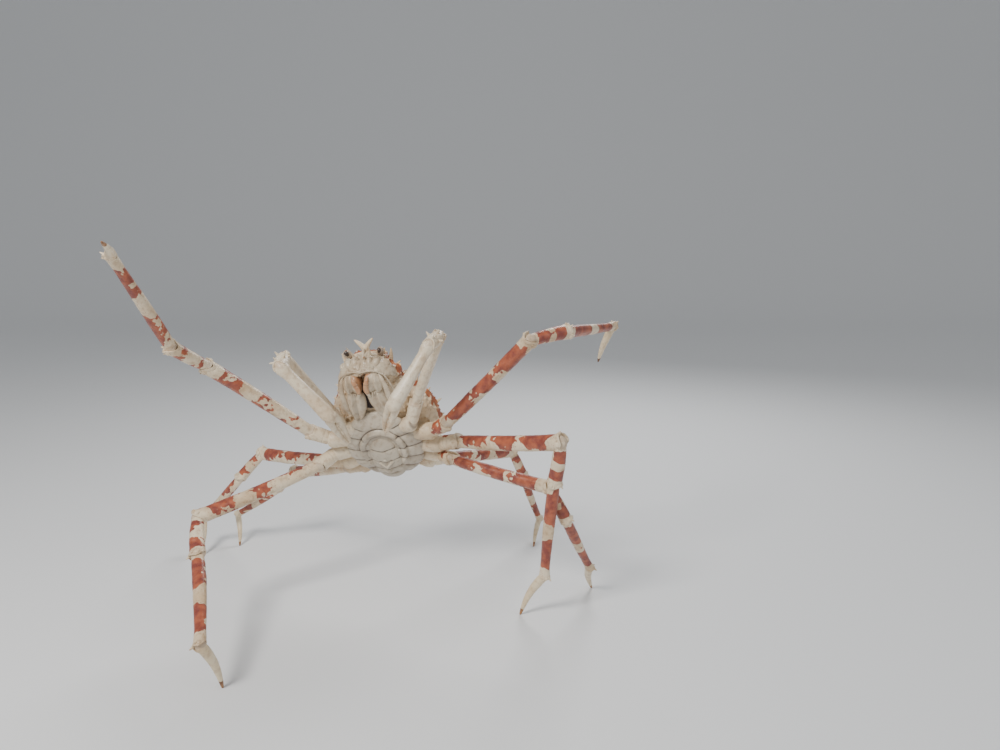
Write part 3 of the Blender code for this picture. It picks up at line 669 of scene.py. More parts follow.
# %% Coxa and ischium
def coxa_skins(root, knuckle, end, half, side, paint):
    """Coxa with a fold round it, then the two fused pieces up to the thigh."""
    lobe = ((0, 0, 0), (0, 0.05, 0.6), (0.15, 0, 0.90), (0.30, 0, 0.98), (0.38, 0, 0.94), (0.47, 0, 0.99),
            (0.75, 0, 1.10), (0.95, 0, 1.12), (1.0, 0.25, 1.04), (1.0, 0.52, 0.80), (1.0, 0.70, 0.40),
            (1.0, 0.72, 0))
    ischium = ((0, -0.2, 0), (0, -0.1, 0.6), (0.15, 0, 0.84), (0.36, 0, 0.92), (0.43, 0, 0.895),
               (0.50, 0, 0.93), (0.80, 0, 0.96), (0.95, 0, 0.99), (1.0, 0.02, 1.02), (1.0, 0.10, 1.0),
               (1.0, 0.12, 0.9), (1.0, 0.05, 0.6), (1.0, 0, 0))
    # The fold round the coxa and the seam of the fused pieces get painted shade.
    folds = ((0.39, 0.02, 0.3), (1.25, 0.06, 0.6))
    return [(tube(root, knuckle, half, side, lobe, lumps=0.07, crease=folds), 48, 44),
            (tube(knuckle, end, half, side, ischium, lumps=0.05, paint=paint, crease=((0.43, 0.015, 0.4),),
                  saddle=True), 60, 44)]


print("coxa ready")

# %% [markdown]
# ## The eight walking legs
# Now one function can make a whole leg from its name. It makes each shell piece an object of its own, as a
# collector would find them, and puts the collar bits in the same object as their piece. Points of the
# standing feet that would sink below the floor are lifted onto it.

# %% Walking legs
def walking_leg(limb):
    """All the pieces of one walking leg."""
    pair = int(limb[-1])
    way = 1 if limb.startswith("left") else -1
    points = chain(limb)
    side = bend_side(points)
    half = HALF[pair]
    root = body_point(way * COXA_ROOT[pair][0], *COXA_ROOT[pair][1:])
    skins = coxa_skins(root, points[0], points[1], half[0], side, band_paint("ischium"))
    skins += collar_bits(points[0], points[1], [0.82 * h for h in half[0]], side, 0.005)
    plate(limb + "_coxa_shell", skins, leg_paint, [limb + "_coxa"])
    for k, kind in enumerate(("merus", "carpus", "propodus"), start=1):
        start, end = points[k], points[k + 1]
        # The collar where the next piece turns in gets painted shade.
        surface = tube(start, end, half[k], side, ROWS[kind], BOW[kind], paint=band_paint(kind), lumps=0.04,
                       crease=((1.01, 0.012, 0.2),), saddle=True)
        collar = [COLLAR.get(kind, 1) * h for h in half[k]]
        skins = [(surface, 130 if kind == "merus" else 96, 44)] + collar_bits(start, end, collar, side)
        plate(limb + "_" + kind + "_shell", skins, leg_paint, [limb + "_" + kind])
    surface = tube(points[4], points[5], half[4], side, DACTYL, BOW["dactyl"], paint=band_paint("dactyl"),
                   lumps=0.04)
    tip = plate(limb + "_dactyl_shell", [(surface, 96, 44)], tip_paint,
                [limb + "_dactyl"])
    if limb not in RAISED:
        for vert in tip.data.vertices:
            vert.co.z = max(vert.co.z, 0.0)
    soft = [(joint_skin(points[k - 1], points[k], points[k + 1],
                        [share * h for h in half[k - 1]], half[k], side), 32, 32)
            for k, share in enumerate((0.93, 1, 1, COLLAR["propodus"]), start=1)]
    plate(limb + "_joint_skin", soft, skin_paint)


for name in ("right_2", "right_3", "right_4", "right_5", "left_2", "left_3", "left_4", "left_5"):
    walking_leg(name)

# %% [markdown]
# ## The outlines of the claws
# The front pair folds its claws down before the mouth. The palm widens toward the fingers. One finger is
# part of the palm, and the other swings. The rows say the same things as for a leg, and the fingers also
# say how far each step lies from the middle line, because both of them curve.

# %% Rows of the clawed limbs
CLAW_MERUS = ((0, -0.4, 0), (0, -0.3, 0.5), (0, 0.1, 0.78), (0.10, 0, 0.90), (0.3, 0, 0.95), (0.6, 0, 1.0),
              (0.85, 0, 1.05)) + LIP
CLAW_CARPUS = ((0, -0.6, 0), (0, -0.55, 0.5), (0, -0.2, 0.85), (0.2, 0, 1.0), (0.5, 0, 1.10), (0.75, 0, 1.10),
               (0.9, 0, 1.03), (1.0, -0.05, 1.06), (1.0, 0.08, 1.08), (1.0, 0.16, 1.02), (1.0, 0.14, 0.92),
               (1.0, 0.0, 0.6), (1.0, -0.05, 0))
PALM = ((0, -0.5, 0.05), (0, -0.45, 0.6), (0, -0.1, 0.88), (0.05, 0, 0.96), (0.10, 0, 0.90), (0.18, 0, 0.80),
        (0.35, 0, 0.82), (0.55, 0, 0.88), (0.75, 0, 0.97), (0.93, 0, 1.04))
# Fingers: share of their length, distance from the middle line and half thicknesses, all in palm halves.
FIXED = ((0.03, -0.16, 0.92, 0.96), (0.10, -0.38, 0.66, 0.76), (0.22, -0.46, 0.50, 0.58),
         (0.42, -0.47, 0.43, 0.49), (0.62, -0.42, 0.36, 0.42), (0.80, -0.32, 0.28, 0.32),
         (0.93, -0.22, 0.19, 0.21), (0.99, -0.16, 0.10, 0.10), (1.0, -0.15, 0, 0))
MOVING = ((-0.10, 0.40, 0, 0), (-0.095, 0.41, 0.30, 0.34), (-0.04, 0.46, 0.50, 0.60),
          (0.04, 0.54, 0.56, 0.62), (0.14, 0.60, 0.52, 0.56), (0.30, 0.63, 0.46, 0.50),
          (0.50, 0.58, 0.40, 0.43), (0.70, 0.47, 0.32, 0.35), (0.86, 0.34, 0.24, 0.26),
          (0.96, 0.23, 0.15, 0.16), (0.995, 0.17, 0.07, 0.07), (1.0, 0.165, 0, 0))
print("steps of the moving finger", len(MOVING))

# %% [markdown]
# ## Fingers and their teeth
# Where the fingers meet they carry low blunt teeth, which show white against the gap. A bump in the paint
# would vanish in the outline, so each tooth is a small knob on the inner edge.

# %% Finger line and teeth
TEETH = 9


def finger_stops(wrist, tip, half, hinge, rows):
    """Stops of a finger beside the middle line of the claw."""
    reach = tip - wrist
    tall = across(reach.normalized(), hinge)[0]
    return [(wrist + share * reach + off * half[0] * tall, h0 * half[0], h1 * half[1])
            for share, off, h0, h1 in rows]


def teeth(stops, way, side_tall):
    """Low blunt teeth along the inner edge of a finger."""
    rows = [(*centre, tall) for centre, tall, _ in stops]
    bits = []
    for k in range(TEETH):
        x, y, z, tall = spline(rows, 0.30 + 0.065 * k)
        inner = Vector((x, y, z)) - way * 0.96 * tall * side_tall
        bits.append((knob(inner, -way * side_tall, 0.0015 if k % 2 else 0.0021, 1.1), 8, 10))
    return bits


def pale(t, outer):
    """Nearly all cream, with a few patches on the outer side."""
    return -0.42 + 0.26 * outer


print("teeth on both claws", 4 * TEETH)

# %% [markdown]
# ## The two clawed limbs
# The arm of the claw has the same collars as a leg. The wrist is a knob with spines all round. The palm and
# its fixed finger are one hard piece on the real animal, so they are one sweep, and only the other finger is
# an object of its own.

# %% Clawed limbs
def claw_arm(limb):
    """All the pieces of one clawed limb."""
    way = 1 if limb.startswith("left") else -1
    points = chain(limb)
    side = bend_side(points)
    half = HALF[1]
    root = body_point(way * COXA_ROOT[1][0], *COXA_ROOT[1][1:])
    plate(limb + "_coxa_shell", coxa_skins(root, points[0], points[1], half[0], side, pale), claw_paint,
          [limb + "_coxa"])
    merus = [(tube(points[1], points[2], half[1], side, CLAW_MERUS, paint=pale, lumps=0.04, ribs=0.012,
                   saddle=True), 110, 44)]
    merus += collar_bits(points[1], points[2], half[1], side, 0.006, 0.0036)
    plate(limb + "_merus_shell", merus, claw_paint, [limb + "_merus"])
    axis = (points[3] - points[2]).normalized()
    tall, wide = across(axis, side)
    wrist = tube(points[2], points[3], half[2], side, CLAW_CARPUS, paint=pale, lumps=0.07, saddle=True)
    carpus = [(wrist, 72, 48)]
    for turn, share, long in ((180, 0.30, 0.012), (180, 0.85, 0.010), (125, 0.60, 0.012), (-125, 0.60, 0.012),
                              (90, 0.25, 0.006), (-90, 0.25, 0.006), (60, 0.95, 0.006), (-60, 0.95, 0.006)):
        a = math.radians(turn)
        out = math.cos(a) * half[2][0] * tall + math.sin(a) * half[2][1] * wide
        spot = points[2].lerp(points[3], share) + out
        tip = spot + long * (out.normalized() + 0.3 * axis)
        carpus.append((spike(spot - 0.3 * out, tip, 0.0045), 12, 14))
    plate(limb + "_carpus_shell", carpus, claw_paint, [limb + "_carpus"])
    run = points[4] - points[3]
    hinge = way * across(run.normalized(), side)[0]
    spread = across((points[5] - points[4]).normalized(), hinge)[0]
    stops = [(points[3] + share * run + extra * half[3][0] * run.normalized(),
              size * half[3][0], size * half[3][1]) for share, extra, size in PALM]
    fixed = finger_stops(points[4], points[5], half[3], hinge, FIXED)
    palm = [(sweep(stops + fixed, hinge, lumps=0.035, ribs=0.014, paint=pale), 170, 48)]
    palm += teeth(fixed, -1, spread)
    plate(limb + "_palm_shell", palm, claw_paint, [limb + "_palm"])
    swing = finger_stops(points[4], points[5], half[3], hinge, MOVING)
    # The crease at the base of the moving finger gets painted shade.
    moving = [(sweep(swing, hinge, lumps=0.035, paint=pale, crease=((0.12, 0.05, 0.3),)), 84, 32)]
    moving += teeth(swing, 1, spread)
    plate(limb + "_finger_shell", moving, claw_paint, [limb + "_finger"])
    soft = [(joint_skin(points[k - 1], points[k], points[k + 1], half[k - 1], half[k], side), 32, 32)
            for k in (1, 2, 3)]
    plate(limb + "_joint_skin", soft, skin_paint)


claw_arm("right_1")
claw_arm("left_1")
print("claws made")

# %% [markdown]
# ## The outlines of the body
# The body has three parts: the back shell, the breast plate and the tail flap. Each is a row of sections
# from tail to head: the place, the half width, the height of the widest line, the top and the bottom, all
# as shares of the shell's width. They could be sculpted, but rows of numbers keep both sides alike.

# %% Sections of the body
SHELL = ((-0.44, 0.02, 0.235, 0.24, 0.23), (-0.43, 0.12, 0.235, 0.28, 0.19),
         (-0.40, 0.22, 0.225, 0.325, 0.155), (-0.30, 0.35, 0.235, 0.40, 0.105),
         (-0.15, 0.445, 0.27, 0.46, 0.07),
         (0.02, 0.49, 0.31, 0.495, 0.05), (0.18, 0.49, 0.33, 0.50, 0.05),
         (0.34, 0.43, 0.33, 0.485, 0.05), (0.48, 0.335, 0.315, 0.45, 0.06),
         (0.60, 0.26, 0.30, 0.415, 0.075), (0.70, 0.215, 0.295, 0.385, 0.10),
         (0.78, 0.165, 0.30, 0.36, 0.17), (0.82, 0.09, 0.305, 0.34, 0.25), (0.83, 0.01, 0.305, 0.31, 0.30))
BREAST = ((-0.40, 0.01, 0.13, 0.14, 0.12), (-0.39, 0.08, 0.13, 0.16, 0.10), (-0.35, 0.17, 0.11, 0.17, 0.06),
          (-0.24, 0.28, 0.08, 0.17, 0.02), (-0.10, 0.335, 0.06, 0.16, -0.005),
          (0.04, 0.345, 0.05, 0.15, -0.015), (0.16, 0.31, 0.045, 0.14, -0.02),
          (0.25, 0.235, 0.04, 0.12, -0.02), (0.32, 0.15, 0.04, 0.11, -0.005),
          (0.37, 0.07, 0.05, 0.10, 0.015), (0.375, 0.01, 0.06, 0.08, 0.04))
FLAP = ((-0.372, 0.01, 0.060, 0.065, 0.052), (-0.365, 0.06, 0.062, 0.075, 0.042),
        (-0.30, 0.105, 0.022, 0.05, -0.019), (-0.20, 0.132, 0.008, 0.04, -0.044),
        (-0.08, 0.138, 0.000, 0.03, -0.054), (0.02, 0.118, 0.000, 0.03, -0.054),
        (0.08, 0.078, 0.000, 0.02, -0.044), (0.11, 0.03, -0.002, 0.012, -0.029),
        (0.114, 0.003, -0.006, 0.0, -0.012))


def body_surface(rows, detail):
    """Surface of a body piece; detail gives (lift, redness, crease) from place and side."""
    @lru_cache(None)
    def ring(u):
        return spline(rows, u)

    def surface(u, v):
        forward, half, middle, top, bottom = ring(u)
        half = max(half, 0.0)
        a = 2 * math.pi * v
        c, s = math.cos(a), math.sin(a)
        rise = (top - middle) if s > 0 else (middle - bottom)
        x, y = half * c, middle + rise * s
        lift, redness, crease = detail(x, forward, s)
        out = Vector((c, s)).normalized() * lift * min(half / 0.05, 1)
        return body_point(x + out.x, forward, y + out.y), redness, crease
    return surface


print("sections of the back shell", len(SHELL))

# %% [markdown]
# ## The breast plate
# Below, the crab's body is a row of fused plates with seams that spread from the tail flap, and a raised
# rim that arches over the flap. Cutting the plates apart would leave open edges. So they are one skin, and
# a function presses the seams in, raises the rim, and paints shade into the seams, the groove outside the
# rim and the edge of the flap's bed. A flat knob closes the bed behind the flap, so that no dark slit shows
# beside it.

# %% Seams and rim of the breast
SEAMS = ((0.205, 0.35), (0.10, 0.22), (-0.02, 0.05), (-0.13, -0.12), (-0.24, -0.30))


def breast_detail(x, f, s):
    """Seams between the fused plates, a raised rim round the bed of the flap, and a few pits."""
    if s > -0.05:
        return 0.0, -1.0, 0.0
    lift = crease = 0.0
    ax = abs(x)
    outer = min(max((ax - 0.10) / 0.04, 0), 1)
    for place, slope in SEAMS:
        seam = place + slope * (ax - 0.13)
        swell = 0.004 * math.cos(math.pi * min(abs(f - seam) / 0.055, 1))
        lift -= outer * (swell + 0.012 * hump(f, seam, 0.009))
        # Painted shade in the seams between the plates.
        crease += 0.8 * hump(f, seam, 0.0060) * min(max((ax - 0.115) / 0.03, 0), 1)
    ring = math.hypot(x / 0.165, (f + 0.04) / 0.19)
    front = 1 if f > -0.15 else max(1 + (f + 0.15) / 0.1, 0)
    lift += 0.020 * hump(ring, 1.10, 0.11) * front - 0.014 * hump(ring, 1.32, 0.05) * front
    # Painted shade in the groove outside the rim and at the edge of the flap's bed.
    crease += 0.75 * hump(ring, 1.32, 0.032) * table(((-0.06, 0), (0.0, 1)), f) + 0.6 * hump(ring, 0.93, 0.03)
    middle = hump(ax, 0, 0.012) * (1 if 0.20 < f < 0.34 else 0)
    lift += 0.006 * noise.noise(Vector((x * 14, f * 14, 0))) - 0.004 * middle
    return lift, -0.5, min(crease, 1)


flap_bed = knob(body_point(0, -0.24, 0.052), BACK, 0.0405, 0.45, -0.5)
breast_skins = [(body_surface(BREAST, breast_detail), 210, 230), (flap_bed, 40, 60)]
breast = plate("breast_shell", breast_skins, belly_paint, ["sternum"])
print("breast faces", len(breast.data.polygons))

# %% [markdown]
# ## The tail flap
# A crab carries its tail folded forward under the body. The broad oval flap has seams between its segments,
# with painted shade in them, and a pale chevron near its end. It lies in the shallow bed that the breast
# plate leaves for it.

# %% Segments of the flap
def flap_detail(x, f, s):
    """Segments of the folded tail, a low keel, and the pale chevron near its end."""
    lift = crease = 0.0
    redness = -0.5
    if s < 0:
        for place, bow in ((0.0, -0.10), (-0.12, -0.12), (-0.215, -0.1), (-0.29, 0)):
            seam = place + bow * (0.12 - abs(x))
            lift -= 0.012 * hump(f, seam, 0.009)
            # Painted shade in the seams between the segments.
            crease += 0.85 * hump(f, seam, 0.004)
        lift += 0.014 * hump(x, 0, 0.035) * min(max((-f + 0.06) / 0.1, 0), 1)
        vee = hump(f, -0.185 + 0.85 * abs(x), 0.014) * min(max((0.088 - abs(x)) / 0.03, 0), 1)
        lift += 0.014 * vee + 0.003 * noise.noise(Vector((x * 20, f * 20, 3)))
        redness += 1.1 * vee + 0.6 * hump(f, -0.10, 0.03) * hump(x, 0, 0.03)
        # Painted shade in the groove beside the chevron.
        crease += 0.5 * hump(f, -0.215 + 0.85 * abs(x), 0.008) * (1 if abs(x) < 0.08 else 0)
    return lift, redness, min(crease, 1)


flap_skins = [(body_surface(FLAP, flap_detail), 120, 96)]
flap = plate("flap_shell", flap_skins, belly_paint, ["abdomen"])
print("flap faces", len(flap.data.polygons))

# %% [markdown]
# ## Regions of the back shell
# Over the organs the back swells into regions with grooves between them, and the grooves get painted shade.
# In front, below the edge, lie the swollen cheeks beside the mouth and the folded face, with painted shade
# in their grooves and folds. The photo shows only the front of it, so the grooves of the back come from the
# species.

# %% Swellings, grooves and face
CHEEKS = ((0.046, 0.655, 0.055, 0.262, 0.040), (0.040, 0.53, 0.05, 0.255, 0.034),
          (0.030, 0.40, 0.06, 0.265, 0.05), (-0.020, 0.592, 0.014, 0.27, 0.06),
          (0.020, 0.33, 0.03, 0.17, 0.07), (-0.02, 0.29, 0.014, 0.18, 0.08))


def back_detail(x, f, s):
    """Swollen regions of the back, and the cheeks beside the mouth."""
    ax = abs(x)
    lift = crease = 0.0
    if s > 0:
        neck = hump(f, 0.16 + 0.5 * ax, 0.028) * hump(ax, 0.0, 0.30)
        gill = hump(ax - 0.20 * f, 0.165, 0.026) * hump(f, -0.02, 0.24)
        lift += 0.030 * hump(f, 0.44, 0.12) * hump(x, 0, 0.14)
        lift += 0.030 * hump(f, -0.12, 0.12) * hump(x, 0, 0.11)
        lift += 0.024 * hump(f, -0.02, 0.20) * hump(ax, 0.31, 0.11) - 0.034 * neck - 0.034 * gill
        # Painted shade in the grooves between the regions.
        crease += 0.28 * neck + 0.28 * gill
        redness = 0.34 - 0.22 * hump(s, 0, 0.12)
    else:
        for height, ahead, ahead_wide, out, out_wide in CHEEKS:
            lift += height * hump(f, ahead, ahead_wide) * hump(ax, out, out_wide)
        # Painted shade in the two grooves of the cheeks and along the cheek edge.
        for dark, ahead in ((0.5, 0.592), (0.4, 0.465)):
            crease += dark * hump(f, ahead, 0.016) * hump(ax, 0.26, 0.05)
        cheek_edge = 0.325 + 0.12 * (0.4 - f)
        lift -= 0.020 * hump(ax, cheek_edge, 0.018) * hump(f, 0.4, 0.25)
        crease += 0.35 * hump(ax, cheek_edge, 0.014) * hump(f, 0.4, 0.2)
        redness = -0.52 + 0.60 * hump(s, 0, 0.42) + 0.35 * hump(f, 0.60, 0.12) * hump(ax, 0.33, 0.06)
        if f > 0.70:
            fold = noise.noise(Vector((x * 13, f * 22, 9)))
            lift += 0.016 * noise.noise(Vector((x * 24, f * 24, 2))) - 0.012 * hump(fold, 0, 0.10)
            # Painted shade in the folds of the face.
            crease += 0.45 * hump(fold, 0, 0.07)
    lift += 0.006 * noise.noise(Vector((x * 11, f * 11, s)))
    return lift, redness, min(crease, 1)


back_surface = body_surface(SHELL, back_detail)
print("swellings and grooves of the cheeks", len(CHEEKS))

# %% [markdown]
# ## Spines on the back
# The real back has a row of spines along each edge and seven rows of cones over the middle. Every one is a
# spike whose root is sunk in the surface, so the function below finds a place on the shell and the way out
# from it. The seed is fixed, so that every run of the script places them alike.

# %% Spines along the edge and over the back
BACK_STEPS = (280, 240)
STEP = 0.004
random.seed(7)


def back_spot(u, v):
    """A point of the back shell and the way out from it."""
    spot = back_surface(u, v)[0]
    du = back_surface(min(u + STEP, 1), v)[0] - back_surface(max(u - STEP, 0), v)[0]
    dv = back_surface(u, v + STEP)[0] - back_surface(u, v - STEP)[0]
    out = dv.cross(du).normalized()
    heart = body_point(0, 0.15, 0.26)
    return spot, out if out.dot(spot - heart) > 0 else -out


skins = [(back_surface, *BACK_STEPS)]
for edge in (0.02, 0.48):
    for k in range(11):
        spot, out = back_spot(0.20 + 0.066 * k, edge)
        long = 0.017 if k % 2 == 0 else 0.011
        tip = spot + long * (out + 0.45 * AHEAD).normalized()
        skins.append((spike(spot - 0.006 * out, tip, 0.0052), 12, 14))
placed = []
for v, long in ((0.25, 0.0105), (0.20, 0.0080), (0.30, 0.0080), (0.145, 0.0095), (0.355, 0.0095),
                (0.085, 0.0085), (0.415, 0.0085)):
    for k in range(8):
        u = 0.28 + 0.078 * k + random.uniform(-0.012, 0.012)
        spot, out = back_spot(u, v + random.uniform(-0.006, 0.006))
        placed.append((spot, 0.0040))
        tip = spot + long * (out + 0.35 * AHEAD).normalized()
        skins.append((spike(spot - 0.003 * out, tip, 0.0052), 10, 12))
print("spines", len(skins) - 1)

# %% [markdown]
# ## Knobs on the back and the flanks
# Between the spines the shell is rough with knobs of many sizes. An instancer would leave them loose on the
# surface. So places are drawn at random, and one too near to another is thrown away, which spreads the
# knobs over the back as on the real shell. On the flanks they may touch.

# %% Knobs
KNOBS, FLANK_KNOBS = 760, 430
while len(placed) < KNOBS:
    u, v = random.uniform(0.10, 0.93), random.uniform(0.015, 0.485)
    spot, out = back_spot(u, v)
    size = random.choice((0.0017, 0.0020, 0.0024, 0.0030, 0.0038))
    if all((spot - other).length > 1.35 * (size + more) for other, more in placed):
        placed.append((spot, size))
        skins.append((spike(spot - size * out, spot + 1.45 * size * out, 1.35 * size, blunt=0.3), 6, 10))
for k in range(FLANK_KNOBS):
    u, v = random.uniform(0.22, 0.92), random.triangular(0.0, 0.21, 0.05)
    spot, out = back_spot(u, random.choice((-v, 0.5 + v)))
    size = random.choice((0.0020, 0.0026, 0.0034, 0.0044))
    skins.append((spike(spot - size * out, spot + 1.35 * size * out, 1.3 * size, blunt=0.3), 6, 9))
print("knobs", len(placed) + FLANK_KNOBS)

# %% [markdown]
# ## Horns and the spines round the eyes
# Two thick horns stand between the eyes and bend away from each other. Four spines on each side guard the
# eye. They are larger than the others and each has its own place, so they are written out as numbers.

# %% Horns
for way in (1, -1):
    base, tip = body_point(way * 0.035, 0.72, 0.305), body_point(way * 0.088, 0.935, 0.345)
    skins.append((spike(base, tip, 0.0125, -0.017 * way * LEFT - 0.003 * BACK, blunt=0.26), 40, 24))
    for side, forward, dorsal, out, up, long, thick in (
            (0.18, 0.68, 0.30, 0.045, 0.15, 0.025, 0.0078), (0.085, 0.74, 0.345, 0.030, 0.06, 0.045, 0.0058),
            (0.225, 0.60, 0.29, 0.055, 0.07, 0.01, 0.0065), (0.135, 0.74, 0.33, 0.020, 0.05, 0.03, 0.0050)):
        base = body_point(way * side, forward, dorsal)
        tip = body_point(way * (side + out), forward + up, dorsal + long)
        skins.append((spike(base, tip, thick, 0.002 * way * LEFT, blunt=0.14), 24, 18))
print("spikes sunk in the back", len(skins) - 1)

# %% [markdown]
# ## One skin for the back
# The spikes only pass through the shell, and a sharp ring would show where they meet. A Boolean union of a
# thousand spikes is slow and leaves that ring. A voxel remesh wraps one even skin round them all, and two
# rounds of smoothing soften the roots. The voxel is small enough for the knobs, and keeps the piece under
# 200,000 triangles. The modifiers are then applied, because the colours are set on the finished skin.

# %% Fuse the knobs
VOXEL = 0.00187
back = plate("back_shell_plate", skins, back_paint, ["carapace"])
fuse = back.modifiers.new("fuse", "REMESH")
fuse.mode = "VOXEL"
fuse.voxel_size = VOXEL
ease = back.modifiers.new("ease", "SMOOTH")
ease.factor = 0.5
ease.iterations = 2
whole = bpy.data.meshes.new_from_object(back.evaluated_get(bpy.context.evaluated_depsgraph_get()))
back.modifiers.clear()
back.data = whole
whole.shade_smooth()
whole.materials.clear()
whole.materials.append(back_paint)
print("faces of the back", len(whole.polygons))

# %% [markdown]
# ## Colour on the fused back
# The remesh drops the red numbers and the numbers of painted shade. So the plain shell is made once more
# without its spikes, and every point of the skin takes the numbers of the nearest place on it. How far the
# point stands out also tells whether it lies on a knob, and the tips of the large knobs turn pale while the
# painted shade fades out on them.

# %% Red numbers and painted shade of the back
base = skinned([(back_surface, *BACK_STEPS)])
base.faces.ensure_lookup_table()
red_layer = base.verts.layers.float["red"]
shade_layer = base.verts.layers.float["dark"]
base_values = [(face.verts[0][red_layer], face.verts[0][shade_layer]) for face in base.faces]
base_tree = BVHTree.FromBMesh(base)
base.free()
reds, painted_shades = [], []
for vert in whole.vertices:
    _, _, face, gap = base_tree.find_nearest(vert.co)
    raised = min(max((gap - 0.0014) / 0.0036, 0), 1)
    reds.append(base_values[face][0] - 0.85 * raised)
    # Painted shade of the grooves, fading out on the knobs.
    painted_shades.append(base_values[face][1] * (1 - raised))
for label, values in (("red", reds), ("dark", painted_shades)):
    layer = whole.attributes.new(label, "FLOAT", "POINT")
    layer.data.foreach_set("value", values)
print("reddest point of the back", round(max(reds), 2))

# %% [markdown]
# ## The doors of the mouth
# Two flat legs, the outer maxillipeds, close over the mouth like doors. Each has a long lower plate with
# ridges and a shorter plate on top. A box with a bevel would be too plain. So each door is a rounded
# rectangle in section, from rows of place, inner edge, outer edge, front and back, with its ridge added.

# %% Door plates
LOWER_DOOR = ((0.303, 0.122, 0.134, 0.03, 0.06), (0.308, 0.114, 0.142, 0.015, 0.075),
              (0.33, 0.096, 0.160, 0.0, 0.09), (0.38, 0.060, 0.180, -0.012, 0.10),
              (0.45, 0.026, 0.188, -0.02, 0.10), (0.53, 0.010, 0.180, -0.024, 0.10),
              (0.580, 0.014, 0.165, -0.018, 0.11), (0.602, 0.030, 0.150, -0.004, 0.11),
              (0.608, 0.06, 0.12, 0.02, 0.09))
UPPER_DOOR = ((0.596, 0.075, 0.12, 0.03, 0.07), (0.602, 0.034, 0.150, 0.004, 0.09),
              (0.635, 0.016, 0.176, -0.014, 0.10), (0.685, 0.014, 0.178, -0.014, 0.11),
              (0.728, 0.024, 0.165, -0.004, 0.12), (0.757, 0.045, 0.142, 0.022, 0.12),
              (0.768, 0.080, 0.11, 0.045, 0.11))


def door(rows, way, ridge, lean, tint):
    """Surface of a flat plate of the mouth with one long ridge and a groove beside it."""
    @lru_cache(None)
    def ring(u):
        return spline(rows, u)

    def surface(u, v):
        forward, inner, outer, low, high = ring(u)
        a = 2 * math.pi * v
        c, s = math.cos(a), math.sin(a)
        x = (inner + outer) / 2 + (outer - inner) / 2 * abs(c) ** 0.62 * math.copysign(1, c)
        y = (low + high) / 2 + (high - low) / 2 * abs(s) ** 0.62 * math.copysign(1, s)
        # Painted shade along the inner and outer edges of the plate.
        dark = 0.25 * hump(s, 0, 0.5)
        redness = -0.55 + tint * hump(x, inner, 0.03)
        if s < 0:
            line = ridge + lean * (forward - 0.45)
            y -= 0.020 * hump(x, line, 0.012) - 0.016 * hump(x, line - 0.028, 0.011)
            y -= 0.010 * hump(x, line - 0.075, 0.022)
            y += 0.004 * noise.noise(Vector((x * 30, forward * 30, 5)))
            # Painted shade in the groove beside the ridge.
            dark += 0.45 * hump(x, line - 0.028, 0.005)
        return body_point(way * x, forward, y), redness, min(dark, 1)
    return surface


print("sections of the lower door", len(LOWER_DOOR))

# %% [markdown]
# ## Palps, rods and the bases of the feelers
# Over each door lies a jointed palp with a pale tip, and beside it a long flat rod. Above the mouth are the
# bases of the feelers. They are all bent tubes of changing thickness, so they are sweeps through a few
# places on the body, written for the left side and mirrored by one sign.

# %% Rods
def rod(places, radii, way=1, redness=-0.6, crease=(), lumps=0.03):
    """Surface of a round rod through places of the body, given for the left side."""
    stops = [(body_point(way * x, y, z), r, r) for (x, y, z), r in zip(places, radii)]
    return sweep(stops, LEFT + 0.3 * BACK, lumps=lumps, crease=crease, paint=lambda t, outer: redness)


def flat_rod(places, sizes, way, **look):
    """Surface of a flat rod, with its half thickness and half width at each place."""
    stops = [(body_point(way * x, y, z), *size) for (x, y, z), size in zip(places, sizes)]
    return sweep(stops, LEFT, **look)


trial = flat_rod(((0.1, 0.5, 0), (0.1, 0.6, 0)), ((0.001, 0.002), (0.001, 0.002)), 1)
print("start of a trial rod", [round(v, 3) for v in trial(0.0, 0.0)[0]])

# %% [markdown]
# ## The two sides of the mouth
# One function builds a side: the door with its rod, palp and three small spines in one object, and the
# bases of the feelers in another. Separate objects for such small parts would only be in the way, and a
# mirror modifier would leave both doors in one object.

